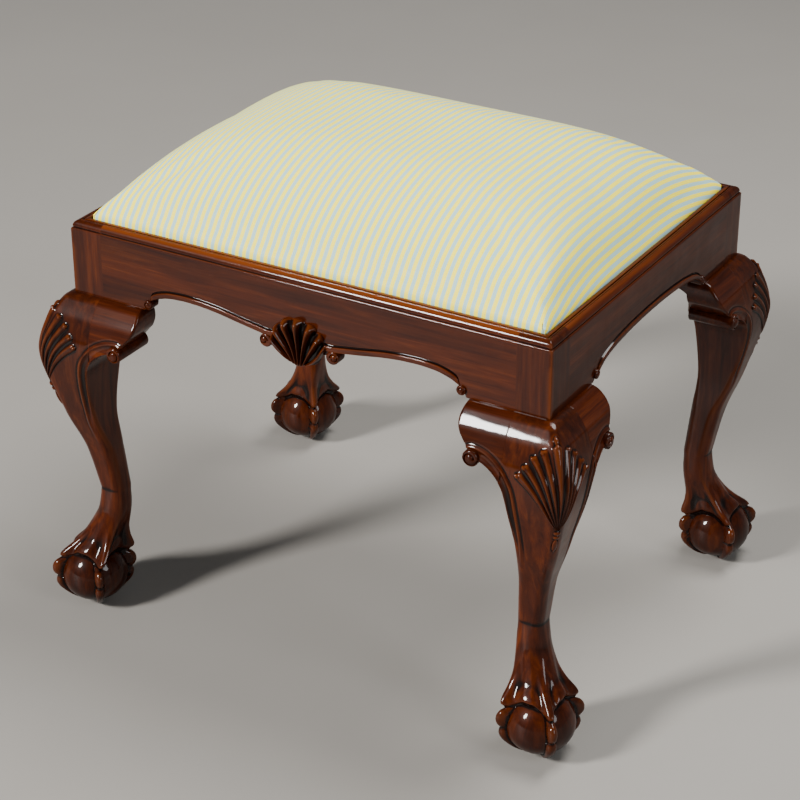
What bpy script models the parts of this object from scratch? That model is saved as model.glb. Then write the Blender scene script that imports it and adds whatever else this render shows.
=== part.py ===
"""Upholstered bench with cabriole legs, ball-and-claw feet and a drop-in seat.

X runs along the long side, the front faces -Y and Z is up. The origin is on the floor under the middle.
A leg is drawn in corner coordinates: a and b run outward along X and Y from the post's outer corner.
A rail is drawn in rail coordinates: u along the rail, t inward from its outer face, z up.
"""

import math

import bmesh
import bpy
import numpy as np
from mathutils import Matrix

# Frame, in metres
FRAME_WIDTH = 0.550
FRAME_DEPTH = 0.432
RIM_TOP = 0.452
RAIL_HEIGHT = 0.0792
RAIL_THICKNESS = 0.024
POST_SIZE = 0.037
RIM_WIDTH = 0.0145
REBATE_DEPTH = 0.015
GLUE_GAP = 0.0003
WELD = 0.00002

# Moulding on the rim: fillet, ovolo, quirk and flat
MOULDING_HEIGHT = 0.012
FILLET_WIDTH = 0.001
FILLET_HEIGHT = 0.0012
OVOLO_WIDTH = 0.0085
OVOLO_HEIGHT = 0.0096
QUIRK_WIDTH = 0.001
QUIRK_DEPTH = 0.002

# Rail joints
TENON_SETBACK = 0.010
TENON_THICKNESS = 0.008
TENON_SHOULDER = 0.008
MORTISE_WALL = 0.005

# Arches and cock bead under the rails
LONG_ARCH_RISE = 0.0217
SIDE_ARCH_RISE = 0.0247
BEAD_WIDTH = 0.0055
BEAD_PROUD = 0.002
BEAD_BED = 0.0015
BEAD_LIP = 0.0004
BEAD_RUN_ON = 0.0015
KNEE_SCROLL_RADIUS = 0.005
SHELL_SCROLL_RADIUS = 0.007
SCROLL_PROUD = 0.003
SCROLL_BED = 0.010
SCROLL_SIDES = 14
PENDANT_DROP = 0.004

# Carved shell on the long rails
SHELL_HEIGHT = 0.052
SHELL_HALF_WIDTH = 0.031
SHELL_HANG = 0.0148
SHELL_FOCUS = 0.015
SHELL_LOBES = 9
SHELL_BASE_THICKNESS = 0.006
SHELL_TOP_THICKNESS = 0.010
SHELL_FLUTE_DEPTH = 0.003

# Cabriole leg
KNEE_LEDGE = 0.007
KNEE_STEP = 0.0012
KNEE_REACH = 0.0312
KNEE_CREST_DROP = 0.062
CALF_DROP = 0.137
CALF_OUTER = 0.0165
CALF_INNER = 0.0262
SHANK_HEIGHT = 0.190
SHANK_OUTER = 0.0025
SHANK_INNER = 0.0311
ANKLE_HEIGHT = 0.138
ANKLE_OUTER = -0.0064
ANKLE_INNER = 0.0352
LEG_CORNER_RADIUS = 0.011
ARRIS_RADIUS = 0.0015

# Ball-and-claw foot
BALL_RADIUS = 0.036
BALL_HEIGHT = 0.0345
WEB_LIP_HEIGHT = 0.064
WEB_LIP_RADIUS = 0.0255
CLAW_SPREAD = 0.040
CLAW_HALF_WIDTH = 0.0066
CLAW_RISE = 0.0138

# Knee blocks
BLOCK_REACH = 0.088
BLOCK_BACK = 0.018
VOLUTE_INSET = 0.0205
LOBE_HEIGHT = 0.026
LOBE_ROUND = 0.003
VOLUTE_DROP = 0.045
VOLUTE_RADIUS = 0.0085
SCROLL_FOOT_DROP = 0.123
SCROLL_FOOT_SIDE = 0.018

# Corner blocks and their screws
CORNER_BLOCK_LEG = 0.045
CORNER_BLOCK_HEIGHT = 0.045
CORNER_BLOCK_DROP = 0.004
SCREW_RADIUS = 0.0023
SCREW_SIDES = 8
SCREW_HEAD_RADIUS = 0.0045
SCREW_HEAD_HEIGHT = 0.003
SCREW_BITE = 0.0125
SCREW_EDGE = 0.012

# Drop-in seat
SEAT_CLEARANCE = 0.001
COVER_THICKNESS = 0.0012
COVER_TURN_UNDER = 0.030
SEAT_CORNER_RADIUS = 0.004
SEAT_FRAME_WIDTH = 0.045
SEAT_FRAME_THICKNESS = 0.015
WEBBING_WIDTH = 0.045
WEBBING_THICKNESS = 0.0015
WEBBING_MARGIN = 0.008
LONG_STRAPS = 3
CROSS_STRAPS = 4
CROWN_EDGE_RISE = 0.0233
CROWN_EDGE_RADIUS = 0.0255
CROWN_RISE = 0.0594
CROWN_POWER_X = 5.7
CROWN_POWER_Y = 3.35
DUST_COVER_THICKNESS = 0.0008
DUST_COVER_CLEARANCE = 0.002

# Levels and lengths that follow from them
KNEE_TOP = RIM_TOP - RAIL_HEIGHT
LEDGE = RIM_TOP - REBATE_DEPTH
TENON_LENGTH = POST_SIZE - TENON_SETBACK - TENON_THICKNESS - MORTISE_WALL
TENON_BOTTOM = KNEE_TOP + TENON_SHOULDER
TENON_TOP = LEDGE - TENON_SHOULDER
CORNER_BLOCK_TOP = LEDGE - CORNER_BLOCK_DROP
CORNER_BLOCK_BOTTOM = CORNER_BLOCK_TOP - CORNER_BLOCK_HEIGHT
SEAT_BOTTOM = LEDGE + GLUE_GAP
SEAT_HALF_X = FRAME_WIDTH / 2 - RIM_WIDTH - SEAT_CLEARANCE
SEAT_HALF_Y = FRAME_DEPTH / 2 - RIM_WIDTH - SEAT_CLEARANCE
SEAT_FRAME_BOTTOM = SEAT_BOTTOM + COVER_THICKNESS + GLUE_GAP
SEAT_FRAME_TOP = SEAT_FRAME_BOTTOM + SEAT_FRAME_THICKNESS
SEAT_FRAME_INSET = COVER_THICKNESS + (1 - math.sqrt(0.5)) * SEAT_CORNER_RADIUS + 2 * GLUE_GAP
LONG_STRAP_BOTTOM = SEAT_FRAME_TOP + GLUE_GAP
CROSS_STRAP_BOTTOM = LONG_STRAP_BOTTOM + WEBBING_THICKNESS + GLUE_GAP
FOAM_BOTTOM = CROSS_STRAP_BOTTOM + WEBBING_THICKNESS + GLUE_GAP

# Columns of a leg, in degrees from the nearest corner of the square section
CORNER_OFFSETS = (-26, -14, -7, 0, 7, 14, 26, 45)
LEG_ANGLES = np.radians([45 + 90 * k + o for k in range(4) for o in CORNER_OFFSETS])

CORNERS = {
    "front_left": (-1, -1),
    "front_right": (1, -1),
    "back_left": (-1, 1),
    "back_right": (1, 1),
}

# Each rail's turn about Z, half length over the posts, distance to its outer face, and corners at u+ and u-
RAILS = {
    "front": (0, FRAME_WIDTH / 2, FRAME_DEPTH / 2, ("front_right", "front_left")),
    "right": (90, FRAME_DEPTH / 2, FRAME_WIDTH / 2, ("back_right", "front_right")),
    "back": (180, FRAME_WIDTH / 2, FRAME_DEPTH / 2, ("back_left", "back_right")),
    "left": (270, FRAME_DEPTH / 2, FRAME_WIDTH / 2, ("front_left", "back_left")),
}
LONG_RAILS = ("front", "back")

MAHOGANY = (0.150, 0.035, 0.014)
SOFTWOOD = (0.62, 0.45, 0.27)
STEEL = (0.55, 0.54, 0.52)
JUTE = (0.45, 0.33, 0.19)
FOAM = (0.80, 0.74, 0.55)
SATIN = (0.72, 0.70, 0.42)
CAMBRIC = (0.02, 0.02, 0.022)


def smooth_curve(knots, x):
    """Cubic through (position, value) knots that never overshoots them, read at x."""
    xs, ys = np.array(sorted(knots), float).T
    step = np.diff(xs)
    slope = np.diff(ys) / step
    tangent = np.concatenate([slope[:1], np.zeros(len(xs) - 2), slope[-1:]])
    same_way = slope[:-1] * slope[1:] > 0
    inner = np.where(same_way, slope[:-1] + slope[1:], 1.0)
    tangent[1:-1] = np.where(same_way, 2 * slope[:-1] * slope[1:] / inner, 0.0)
    x = np.clip(np.asarray(x, float), xs[0], xs[-1])
    i = np.clip(np.searchsorted(xs, x) - 1, 0, len(xs) - 2)
    t = (x - xs[i]) / step[i]
    rise = ys[i] + (ys[i + 1] - ys[i]) * t * t * (3 - 2 * t)
    lean = step[i] * t * (1 - t) * (tangent[i] * (1 - t) - tangent[i + 1] * t)
    return rise + lean


def arc(centre, radius, start, end, count):
    """Points on a circular arc, with angles in degrees."""
    angles = np.radians(np.linspace(start, end, count))
    return [(centre[0] + radius * math.cos(g), centre[1] + radius * math.sin(g)) for g in angles]


def material(name, colour, roughness, metallic=0.0):
    made = bpy.data.materials.new(name)
    made.use_nodes = True
    shader = made.node_tree.nodes["Principled BSDF"]
    shader.inputs["Base Color"].default_value = (*colour, 1.0)
    shader.inputs["Roughness"].default_value = roughness
    shader.inputs["Metallic"].default_value = metallic
    made.diffuse_color = (*colour, 1.0)
    return made


def piece(name, bm, colour, roughness, metallic=0.0, smooth_angle=35):
    """Links a bmesh as a named object with its own finish."""
    bmesh.ops.recalc_face_normals(bm, faces=bm.faces)
    mesh = bpy.data.meshes.new(name)
    bm.to_mesh(mesh)
    bm.free()
    mesh.shade_smooth()
    mesh.set_sharp_from_angle(angle=math.radians(smooth_angle))
    obj = bpy.data.objects.new(name, mesh)
    obj.data.materials.append(material(name + "_finish", colour, roughness, metallic))
    bpy.context.scene.collection.objects.link(obj)
    return obj


def wood(name, bm):
    return piece(name, bm, MAHOGANY, 0.22)


def loft(rings, first_point=None, last_point=None):
    """Closed skin over rings of equal count, capped flat or drawn to a point at each end."""
    bm = bmesh.new()
    rows = [[bm.verts.new(p) for p in ring] for ring in rings]
    count = len(rows[0])
    for low, high in zip(rows, rows[1:]):
        for i in range(count):
            j = (i + 1) % count
            bm.faces.new((low[i], low[j], high[j], high[i]))
    for row, point in ((rows[0], first_point), (rows[-1], last_point)):
        if point is None:
            bm.faces.new(row)
            continue
        tip = bm.verts.new(point)
        for i in range(count):
            bm.faces.new((row[i], row[(i + 1) % count], tip))
    return bm


def prism(outline, near, far, place):
    """Outline extruded from near to far; place(p, q, depth) gives the point."""
    return loft([[place(p, q, depth) for p, q in outline] for depth in (near, far)])


def box(low, high):
    outline = [(low[0], low[1]), (high[0], low[1]), (high[0], high[1]), (low[0], high[1])]
    return prism(outline, low[2], high[2], lambda p, q, depth: (p, q, depth))


def polygon(radius, sides):
    """Regular polygon about the origin with a flat facing each of its sides."""
    half_step = 180 / sides
    return arc((0, 0), radius, half_step, 360 - half_step, sides)


def cylinder(radius, near, far, sides, place):
    return prism(polygon(radius, sides), near, far, place)


def combine(obj, parts, operation):
    """Cuts the parts from the object, or joins them to it, and keeps the result as its mesh."""
    tools = []
    for bm in parts:
        tool = piece("tool", bm, STEEL, 0.5)
        tool.hide_render = True
        tool.display_type = "WIRE"
        modifier = obj.modifiers.new("shape", "BOOLEAN")
        modifier.operation = operation
        modifier.solver = "EXACT"
        modifier.object = tool
        tools.append(tool)
    graph = bpy.context.evaluated_depsgraph_get()
    mesh = bpy.data.meshes.new_from_object(obj.evaluated_get(graph))
    obj.modifiers.clear()
    obj.data = mesh
    for tool in tools:
        bpy.data.objects.remove(tool)
    bm = bmesh.new()
    bm.from_mesh(mesh)
    bmesh.ops.remove_doubles(bm, verts=bm.verts, dist=WELD)
    bmesh.ops.dissolve_degenerate(bm, edges=bm.edges, dist=WELD)
    bm.to_mesh(mesh)
    bm.free()


def mirrored(mesh, sign_x, sign_y):
    """Copy of a mesh with its X and Y signs changed and its faces still pointing out."""
    bm = bmesh.new()
    bm.from_mesh(mesh)
    bmesh.ops.transform(bm, matrix=Matrix.Diagonal((sign_x, sign_y, 1, 1)), verts=bm.verts)
    return bm


def moulding_cutter(reach):
    """Waste outside the rim moulding in rail coordinates, from -reach to reach along the rail."""
    face_top = RIM_TOP - MOULDING_HEIGHT
    ovolo_foot = face_top + FILLET_HEIGHT
    ovolo_back = FILLET_WIDTH + OVOLO_WIDTH
    outline = [(-RIM_WIDTH, face_top), (FILLET_WIDTH, face_top)]
    for g in np.radians(np.linspace(180, 90, 6)):
        outline.append((ovolo_back + OVOLO_WIDTH * math.cos(g), ovolo_foot + OVOLO_HEIGHT * math.sin(g)))
    outline += [
        (ovolo_back, RIM_TOP - QUIRK_DEPTH),
        (ovolo_back + QUIRK_WIDTH, RIM_TOP - QUIRK_DEPTH),
        (ovolo_back + QUIRK_WIDTH, RIM_TOP + MOULDING_HEIGHT),
        (-RIM_WIDTH, RIM_TOP + MOULDING_HEIGHT),
    ]
    return prism(outline, -reach, reach, lambda t, z, u: (u, t, z))


def rebate_cutter(reach, back):
    return box((-reach, RIM_WIDTH, LEDGE), (reach, back, RIM_TOP + MOULDING_HEIGHT))


def tenon(end, clearance):
    """Tenon beyond one end of a rail of half length end, grown by the clearance for its mortise."""
    return box(
        (end - TENON_SHOULDER, TENON_SETBACK - clearance, TENON_BOTTOM - clearance),
        (end + TENON_LENGTH + clearance, TENON_SETBACK + TENON_THICKNESS + clearance, TENON_TOP + clearance),
    )


def knee_outer(z):
    """Reach of the knee's face beyond the frame's face."""
    return smooth_curve(
        [
            (KNEE_TOP, KNEE_LEDGE),
            (KNEE_TOP - KNEE_CREST_DROP * 0.35, KNEE_LEDGE + 0.60 * (KNEE_REACH - KNEE_LEDGE)),
            (KNEE_TOP - KNEE_CREST_DROP, KNEE_REACH),
            (KNEE_TOP - CALF_DROP, CALF_OUTER),
            (SHANK_HEIGHT, SHANK_OUTER),
            (ANKLE_HEIGHT, ANKLE_OUTER),
        ],
        z,
    )


def scroll_side(z):
    """Distance of the C-scroll's edge from the post's outer corner: a quarter ellipse under the volute."""
    centre = BLOCK_REACH - VOLUTE_INSET
    rise = SCROLL_FOOT_DROP - VOLUTE_DROP
    share = np.clip((z - (KNEE_TOP - SCROLL_FOOT_DROP)) / rise, 0, 1)
    return centre - (centre - SCROLL_FOOT_SIDE) * np.sqrt(1 - share**2)


def block_foot():
    """Height at which the C-scroll's edge crosses from the knee block to the leg."""
    centre = BLOCK_REACH - VOLUTE_INSET
    share = (centre - POST_SIZE) / (centre - SCROLL_FOOT_SIDE)
    rise = SCROLL_FOOT_DROP - VOLUTE_DROP
    return KNEE_TOP - SCROLL_FOOT_DROP + rise * math.sqrt(1 - share**2)


def leg_inner(z):
    """Distance of the leg's inner faces from the post's outer corner."""
    foot = block_foot()
    return smooth_curve(
        [
            (KNEE_TOP, POST_SIZE),
            (foot, POST_SIZE),
            (foot - 0.25 * (foot - KNEE_TOP + CALF_DROP), CALF_INNER + 0.4 * (POST_SIZE - CALF_INNER)),
            (KNEE_TOP - CALF_DROP, CALF_INNER),
            (SHANK_HEIGHT, SHANK_INNER),
            (ANKLE_HEIGHT, ANKLE_INNER),
        ],
        z,
    )


def square_radius(half, outer, side, inner):
    """Distance from the middle of a rounded square to its edge, in each leg column."""
    radius = np.array([outer, side, inner, side])[(LEG_ANGLES // (math.pi / 2)).astype(int) % 4]
    across = np.abs(np.cos(LEG_ANGLES))
    along = np.abs(np.sin(LEG_ANGLES))
    flat = half / np.maximum(across, along)
    straight = half - radius
    reach = straight * (across + along)
    round_part = reach + np.sqrt(np.maximum(reach**2 - 2 * straight**2 + radius**2, 0))
    return np.where(flat * np.minimum(across, along) <= straight, flat, round_part)


def leg_ring(z):
    """Section of the knee and shank at height z, in corner coordinates."""
    outer, inner = float(knee_outer(z)), -float(leg_inner(z))
    middle, half = (outer + inner) / 2, (outer - inner) / 2
    side = float(
        smooth_curve(
            [
                (block_foot(), ARRIS_RADIUS),
                (KNEE_TOP - CALF_DROP, 0.7 * LEG_CORNER_RADIUS),
                (SHANK_HEIGHT, LEG_CORNER_RADIUS),
            ],
            z,
        )
    )
    radius = square_radius(half, LEG_CORNER_RADIUS, side, side)
    return [(middle + r * math.cos(g), middle + r * math.sin(g), z) for r, g in zip(radius, LEG_ANGLES)]


def claw_offset():
    """Angle of each leg column from the nearest claw, which lies on a corner of the square."""
    quarter = math.pi / 2
    return np.abs((LEG_ANGLES % quarter) - quarter / 2)


def foot_ring(share):
    """Section between the ankle (share 0) and the lip of the web over the ball (share 1)."""
    ankle_half = (ANKLE_OUTER + ANKLE_INNER) / 2
    ankle_ridge = ankle_half * 1.12
    inward = smooth_curve([(0, 1), (0.3, 0.92), (0.7, 0.5), (1, 0.1)], share)
    web_growth = smooth_curve([(0, 0), (0.3, 0.16), (0.7, 0.5), (1, 1)], share)
    ridge_growth = smooth_curve([(0, 0), (0.3, 0.06), (0.6, 0.26), (1, 1)], share)
    middle = (ANKLE_OUTER - ANKLE_INNER) / 2 * inward
    web = ankle_half + (WEB_LIP_RADIUS - ankle_half) * web_growth
    ridge = ankle_ridge + (CLAW_SPREAD - ankle_ridge) * ridge_growth
    width = math.radians(20 - 5 * share)
    bump = 1 / (1 + (claw_offset() / width) ** 2.6)
    radius = web + (ridge - web) * bump
    z = ANKLE_HEIGHT + (WEB_LIP_HEIGHT - ANKLE_HEIGHT) * share
    return [(middle + r * math.cos(g), middle + r * math.sin(g), z) for r, g in zip(radius, LEG_ANGLES)]


def claw_rise(polar):
    """Height of a claw over the ball: cuff, two knuckle beads and talon, by degrees from the top."""
    beads = [
        (45, 1.0),
        (58, 0.94),
        (65, 0.70),
        (76, 0.87),
        (88, 0.70),
        (95, 0.45),
        (106, 0.57),
        (120, 0.40),
        (136, 0.16),
        (165, 0.02),
    ]
    return CLAW_RISE * smooth_curve(beads, np.degrees(polar))


def ball_ring(share):
    """Section of ball and claws between the web's lip (share 0) and the floor (share 1)."""
    lip = np.array(foot_ring(1.0))
    lip_polar = np.arctan2(np.hypot(lip[:, 0], lip[:, 1]), WEB_LIP_HEIGHT - BALL_HEIGHT)
    floor_polar = math.acos(-BALL_HEIGHT / BALL_RADIUS)
    polar = lip_polar + math.radians(1.5) + (floor_polar - lip_polar - math.radians(1.5)) * share
    spread = claw_offset() * BALL_RADIUS * np.sin(polar)
    half_width = CLAW_HALF_WIDTH * smooth_curve([(50, 1.0), (100, 0.9), (165, 0.5)], np.degrees(polar))
    radius = BALL_RADIUS + claw_rise(polar) / (1 + (spread / half_width) ** 4)
    flat = radius * np.sin(polar)
    height = np.maximum(BALL_HEIGHT + radius * np.cos(polar), 0) if share < 1 else np.zeros_like(polar)
    return [(r * math.cos(g), r * math.sin(g), z) for r, g, z in zip(flat, LEG_ANGLES, height)]


def post_ring(z):
    half = POST_SIZE / 2
    radius = half / np.maximum(np.abs(np.cos(LEG_ANGLES)), np.abs(np.sin(LEG_ANGLES)))
    return [(r * math.cos(g) - half, r * math.sin(g) - half, z) for r, g in zip(radius, LEG_ANGLES)]


def screw_heights():
    return (CORNER_BLOCK_BOTTOM + SCREW_EDGE, CORNER_BLOCK_TOP - SCREW_EDGE)


def screw_seat():
    """Distance from the post's outer corner to a corner block's long face, along the diagonal."""
    return (POST_SIZE + CORNER_BLOCK_LEG + RAIL_THICKNESS + 2 * GLUE_GAP) / math.sqrt(2)


def screw_hole(z, extra):
    """Bore for a corner block screw, which runs along the diagonal from the block into the post."""
    tip = POST_SIZE * math.sqrt(2) - SCREW_BITE - extra

    def place(p, q, depth):
        return ((-depth - p) / math.sqrt(2), (-depth + p) / math.sqrt(2), z + q)

    return cylinder(SCREW_RADIUS + extra, tip, screw_seat() + SCREW_HEAD_HEIGHT, SCREW_SIDES, place)


def at_corner(bm):
    """Moves a bmesh from corner coordinates to the back right corner of the frame."""
    bmesh.ops.translate(bm, verts=bm.verts, vec=(FRAME_WIDTH / 2, FRAME_DEPTH / 2, 0))
    return bm


def rail_to_corner(bm, along_x):
    """Turns a bmesh from rail coordinates, with u from the post's outer corner, into corner coordinates."""
    for v in bm.verts:
        u, t, z = v.co
        v.co = (u, -t, z) if along_x else (-t, u, z)
    return bm


def build_legs():
    knee_shares = (0.0, 0.04, 0.10, 0.18, 0.28, 0.40, 0.55, 0.72, 0.86, 1.0)
    knee_top = KNEE_TOP - KNEE_STEP
    knee_rows = [knee_top - s * (CALF_DROP - KNEE_STEP) for s in knee_shares]
    shank_rows = list(np.linspace(KNEE_TOP - CALF_DROP, ANKLE_HEIGHT, 7)[1:])
    rings = [post_ring(RIM_TOP), post_ring(KNEE_TOP)]
    rings += [leg_ring(z) for z in knee_rows + shank_rows]
    rings += [foot_ring(s) for s in np.linspace(0, 1, 7)[1:]]
    rings += [ball_ring(s) for s in (0.0, 0.1, 0.2, 0.31, 0.42, 0.5, 0.6, 0.74, 0.87, 1.0)]
    leg = wood("leg", at_corner(loft(rings)))
    reach = 3 * POST_SIZE
    cuts = []
    for along_x in (True, False):
        cuts.append(rail_to_corner(moulding_cutter(reach), along_x))
        cuts.append(rail_to_corner(tenon(-POST_SIZE, GLUE_GAP), along_x))
    inside = -RIM_WIDTH
    cuts.append(box((-reach, -reach, LEDGE), (inside, inside, RIM_TOP + MOULDING_HEIGHT)))
    cuts += [screw_hole(z, GLUE_GAP) for z in screw_heights()]
    combine(leg, [at_corner(bm) for bm in cuts], "DIFFERENCE")
    for corner, signs in CORNERS.items():
        wood("leg_" + corner, mirrored(leg.data, *signs))
    bpy.data.objects.remove(leg)


def arch_edge(side):
    """Right half of a rail's lower edge, from the middle out to the knee block, as (u, z)."""
    half = RAILS[side][1]
    block_end = half - BLOCK_REACH - 2 * GLUE_GAP
    if side not in LONG_RAILS:
        shares = np.linspace(0, 1, 13)
        rise = SIDE_ARCH_RISE * smooth_curve([(0, 1), (0.55, 0.88), (0.84, 0.55), (0.93, 0.28), (1, 0)], shares)
        return [(block_end * s, KNEE_TOP + r) for s, r in zip(shares, rise)]
    inner = SHELL_HALF_WIDTH + SHELL_SCROLL_RADIUS + 2 * GLUE_GAP
    shares = np.concatenate([np.linspace(0, 0.84, 10), (0.9, 0.94, 0.97, 1.0)])
    knots = [(0, 0.44), (0.2, 0.64), (0.5, 1), (0.72, 1), (0.88, 0.76), (0.96, 0.46), (1, 0)]
    rise = LONG_ARCH_RISE * smooth_curve(knots, shares)
    return [(inner + (block_end - inner) * s, KNEE_TOP + r) for s, r in zip(shares, rise)]


def rail_outline(side):
    end = RAILS[side][1] - POST_SIZE - GLUE_GAP
    edge = arch_edge(side)
    if side in LONG_RAILS:
        edge.insert(0, (edge[0][0], KNEE_TOP + PENDANT_DROP))
    right = edge + [(end, KNEE_TOP), (end, RIM_TOP)]
    left = [(-u, z) for u, z in reversed(right) if u > 0]
    return left + right


def bead(edge):
    """Half-round cock bead swept along an edge of (u, z) points, in rail coordinates."""
    path = np.array(edge)
    along = np.gradient(path, axis=0)
    along /= np.linalg.norm(along, axis=1)[:, None]
    path[0] -= BEAD_RUN_ON * along[0]
    path[-1] += BEAD_RUN_ON * along[-1]
    up = np.stack([-along[:, 1], along[:, 0]], 1)
    section = [
        (-BEAD_LIP, BEAD_BED),
        (-BEAD_LIP, -0.5 * BEAD_PROUD),
        (0.25 * BEAD_WIDTH, -BEAD_PROUD),
        (0.75 * BEAD_WIDTH, -BEAD_PROUD),
        (BEAD_WIDTH, -0.4 * BEAD_PROUD),
        (BEAD_WIDTH, BEAD_BED),
    ]
    return loft([[(p[0] + n * h[0], t, p[1] + n * h[1]) for n, t in section] for p, h in zip(path, up)])


def scroll(u, z, radius):
    return cylinder(radius, -SCROLL_PROUD, SCROLL_BED, SCROLL_SIDES, lambda p, q, t: (u + p, t, z + q))


def place_on_rail(obj, side):
    turn, _, face, _ = RAILS[side]
    angle = math.radians(turn)
    obj.rotation_euler = (0, 0, angle)
    obj.location = (face * math.sin(angle), -face * math.cos(angle), 0)


def build_rail(side):
    end = RAILS[side][1] - POST_SIZE - GLUE_GAP
    rail = wood("rail_" + side, prism(rail_outline(side), 0, RAIL_THICKNESS, lambda u, z, t: (u, t, z)))
    reach = 2 * RAILS[side][1]
    cuts = [moulding_cutter(reach), rebate_cutter(reach, 2 * RAIL_THICKNESS)]
    combine(rail, cuts, "DIFFERENCE")
    edge = arch_edge(side)
    knee_end = edge[-1][0] - KNEE_SCROLL_RADIUS - GLUE_GAP
    trimmed = [p for p in edge if p[0] < knee_end]
    knee_level = KNEE_TOP + KNEE_SCROLL_RADIUS + BEAD_PROUD
    joins = []
    for sign in (1, -1):
        joins.append(rail_mirror(tenon(end, 0), sign))
        joins.append(rail_mirror(scroll(knee_end, knee_level, KNEE_SCROLL_RADIUS), sign))
    if side in LONG_RAILS:
        for sign in (1, -1):
            joins.append(rail_mirror(bead(trimmed), sign))
            joins.append(rail_mirror(scroll(edge[0][0], KNEE_TOP + PENDANT_DROP, SHELL_SCROLL_RADIUS), sign))
    else:
        joins.append(bead([(-u, z) for u, z in reversed(trimmed[1:])] + trimmed))
    combine(rail, joins, "UNION")
    place_on_rail(rail, side)


def rail_mirror(bm, sign):
    bmesh.ops.transform(bm, matrix=Matrix.Diagonal((sign, 1, 1, 1)), verts=bm.verts)
    return bm


def block_outline():
    """Outline of a knee block as (distance from the post's outer corner, z)."""
    leg_side = POST_SIZE + GLUE_GAP
    top = KNEE_TOP - GLUE_GAP
    centre = (BLOCK_REACH - VOLUTE_INSET, KNEE_TOP - VOLUTE_DROP)
    shares = np.linspace(0, 1, 5)
    lobe = [(BLOCK_REACH - LOBE_ROUND * (2.2 * s - 1) ** 2, top - LOBE_HEIGHT * s) for s in shares]
    volute = arc(centre, VOLUTE_RADIUS, 50, -130, 8)
    foot = block_foot() + GLUE_GAP
    throat = [(float(scroll_side(z)), z) for z in np.linspace(centre[1] - 0.5 * VOLUTE_RADIUS, foot, 6)]
    throat[-1] = (leg_side, foot)
    return [(leg_side, top), *lobe, *volute, *throat]


def block_body(half):
    """Knee block at the u+ end of a rail: its outline cut into level strips and drawn out to the knee's face."""
    outline = block_outline()
    bm = bmesh.new()
    face = bm.faces.new([bm.verts.new((half - d, BLOCK_BACK, z)) for d, z in outline])
    bottom = min(z for _, z in outline)
    for level in np.linspace(KNEE_TOP, bottom, 8)[1:-1]:
        geometry = bm.verts[:] + bm.edges[:] + bm.faces[:]
        bmesh.ops.bisect_plane(bm, geom=geometry, plane_co=(0, 0, level), plane_no=(0, 0, 1), dist=1e-6)
    drawn = bmesh.ops.extrude_face_region(bm, geom=bm.faces[:], use_keep_orig=True)
    for v in (g for g in drawn["geom"] if isinstance(g, bmesh.types.BMVert)):
        v.co.y = -float(knee_outer(v.co.z))
    return bm


def build_knee_blocks():
    for side, (_, half, _, corners) in RAILS.items():
        kind = "long" if side in LONG_RAILS else "side"
        for corner, sign in zip(corners, (1, -1)):
            block = wood("knee_block_{}_{}".format(corner, kind), rail_mirror(block_body(half), sign))
            place_on_rail(block, side)


def shell_point(share_across, share_out):
    """Point on the shell's face; share_across runs -1 to 1 and share_out runs from base to rim."""
    focus_z = KNEE_TOP - SHELL_HANG - SHELL_FOCUS
    spread = math.atan2(SHELL_HALF_WIDTH, SHELL_FOCUS + SHELL_HEIGHT / 2)
    g = spread * share_across
    wave = math.cos(math.pi * SHELL_LOBES * (share_across + 1)) * -1
    side_reach = math.hypot(SHELL_HALF_WIDTH, SHELL_FOCUS + SHELL_HEIGHT / 2)
    rim = SHELL_FOCUS + SHELL_HEIGHT
    rim += (side_reach - rim) * share_across**2 + 0.5 * SHELL_FLUTE_DEPTH * (wave - 1)
    r = SHELL_FOCUS + (rim - SHELL_FOCUS) * share_out
    crown = SHELL_BASE_THICKNESS + (SHELL_TOP_THICKNESS - SHELL_BASE_THICKNESS) * share_out
    crown *= 1 - 0.25 * share_across**2
    flute = 0.5 * SHELL_FLUTE_DEPTH * (1 - wave) * min(1.0, 2 * share_out)
    thickness = (crown - flute) * (1 - 0.55 * max(0.0, (share_out - 0.8) / 0.2) ** 2)
    return r * math.sin(g), focus_z + r * math.cos(g), thickness


def build_shell(side):
    back = GLUE_GAP
    columns = np.linspace(-1, 1, 3 * SHELL_LOBES + 1)
    rows = np.array((0.0, 0.25, 0.5, 0.72, 0.88, 1.0))
    bm = bmesh.new()
    front = []
    rear = []
    for c in columns:
        points = [shell_point(c, r) for r in rows]
        front.append([bm.verts.new((u, -back - thick, z)) for u, z, thick in points])
        rear.append([bm.verts.new((points[k][0], -back, points[k][1])) for k in (0, -1)])
    for i in range(len(columns) - 1):
        for k in range(len(rows) - 1):
            bm.faces.new((front[i][k], front[i + 1][k], front[i + 1][k + 1], front[i][k + 1]))
        bm.faces.new((front[i][0], rear[i][0], rear[i + 1][0], front[i + 1][0]))
        bm.faces.new((front[i][-1], front[i + 1][-1], rear[i + 1][1], rear[i][1]))
        bm.faces.new((rear[i][0], rear[i][1], rear[i + 1][1], rear[i + 1][0]))
    for i in (0, -1):
        bm.faces.new((*front[i], rear[i][1], rear[i][0]))
    shell = wood("shell_" + side, bm)
    place_on_rail(shell, side)


def build_corner_blocks():
    near_rail = RAIL_THICKNESS + GLUE_GAP
    near_post = POST_SIZE + GLUE_GAP
    far = POST_SIZE + CORNER_BLOCK_LEG
    outline = [(near_post, near_rail), (far, near_rail), (near_rail, far)]
    outline += [(near_rail, near_post), (near_post, near_post)]
    body = prism(outline, CORNER_BLOCK_BOTTOM, CORNER_BLOCK_TOP, lambda p, q, z: (-p, -q, z))
    block = piece("corner_block", at_corner(body), SOFTWOOD, 0.6)
    combine(block, [at_corner(screw_hole(z, GLUE_GAP)) for z in screw_heights()], "DIFFERENCE")
    for corner, signs in CORNERS.items():
        piece("corner_block_" + corner, mirrored(block.data, *signs), SOFTWOOD, 0.6)
    bpy.data.objects.remove(block)


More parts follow.
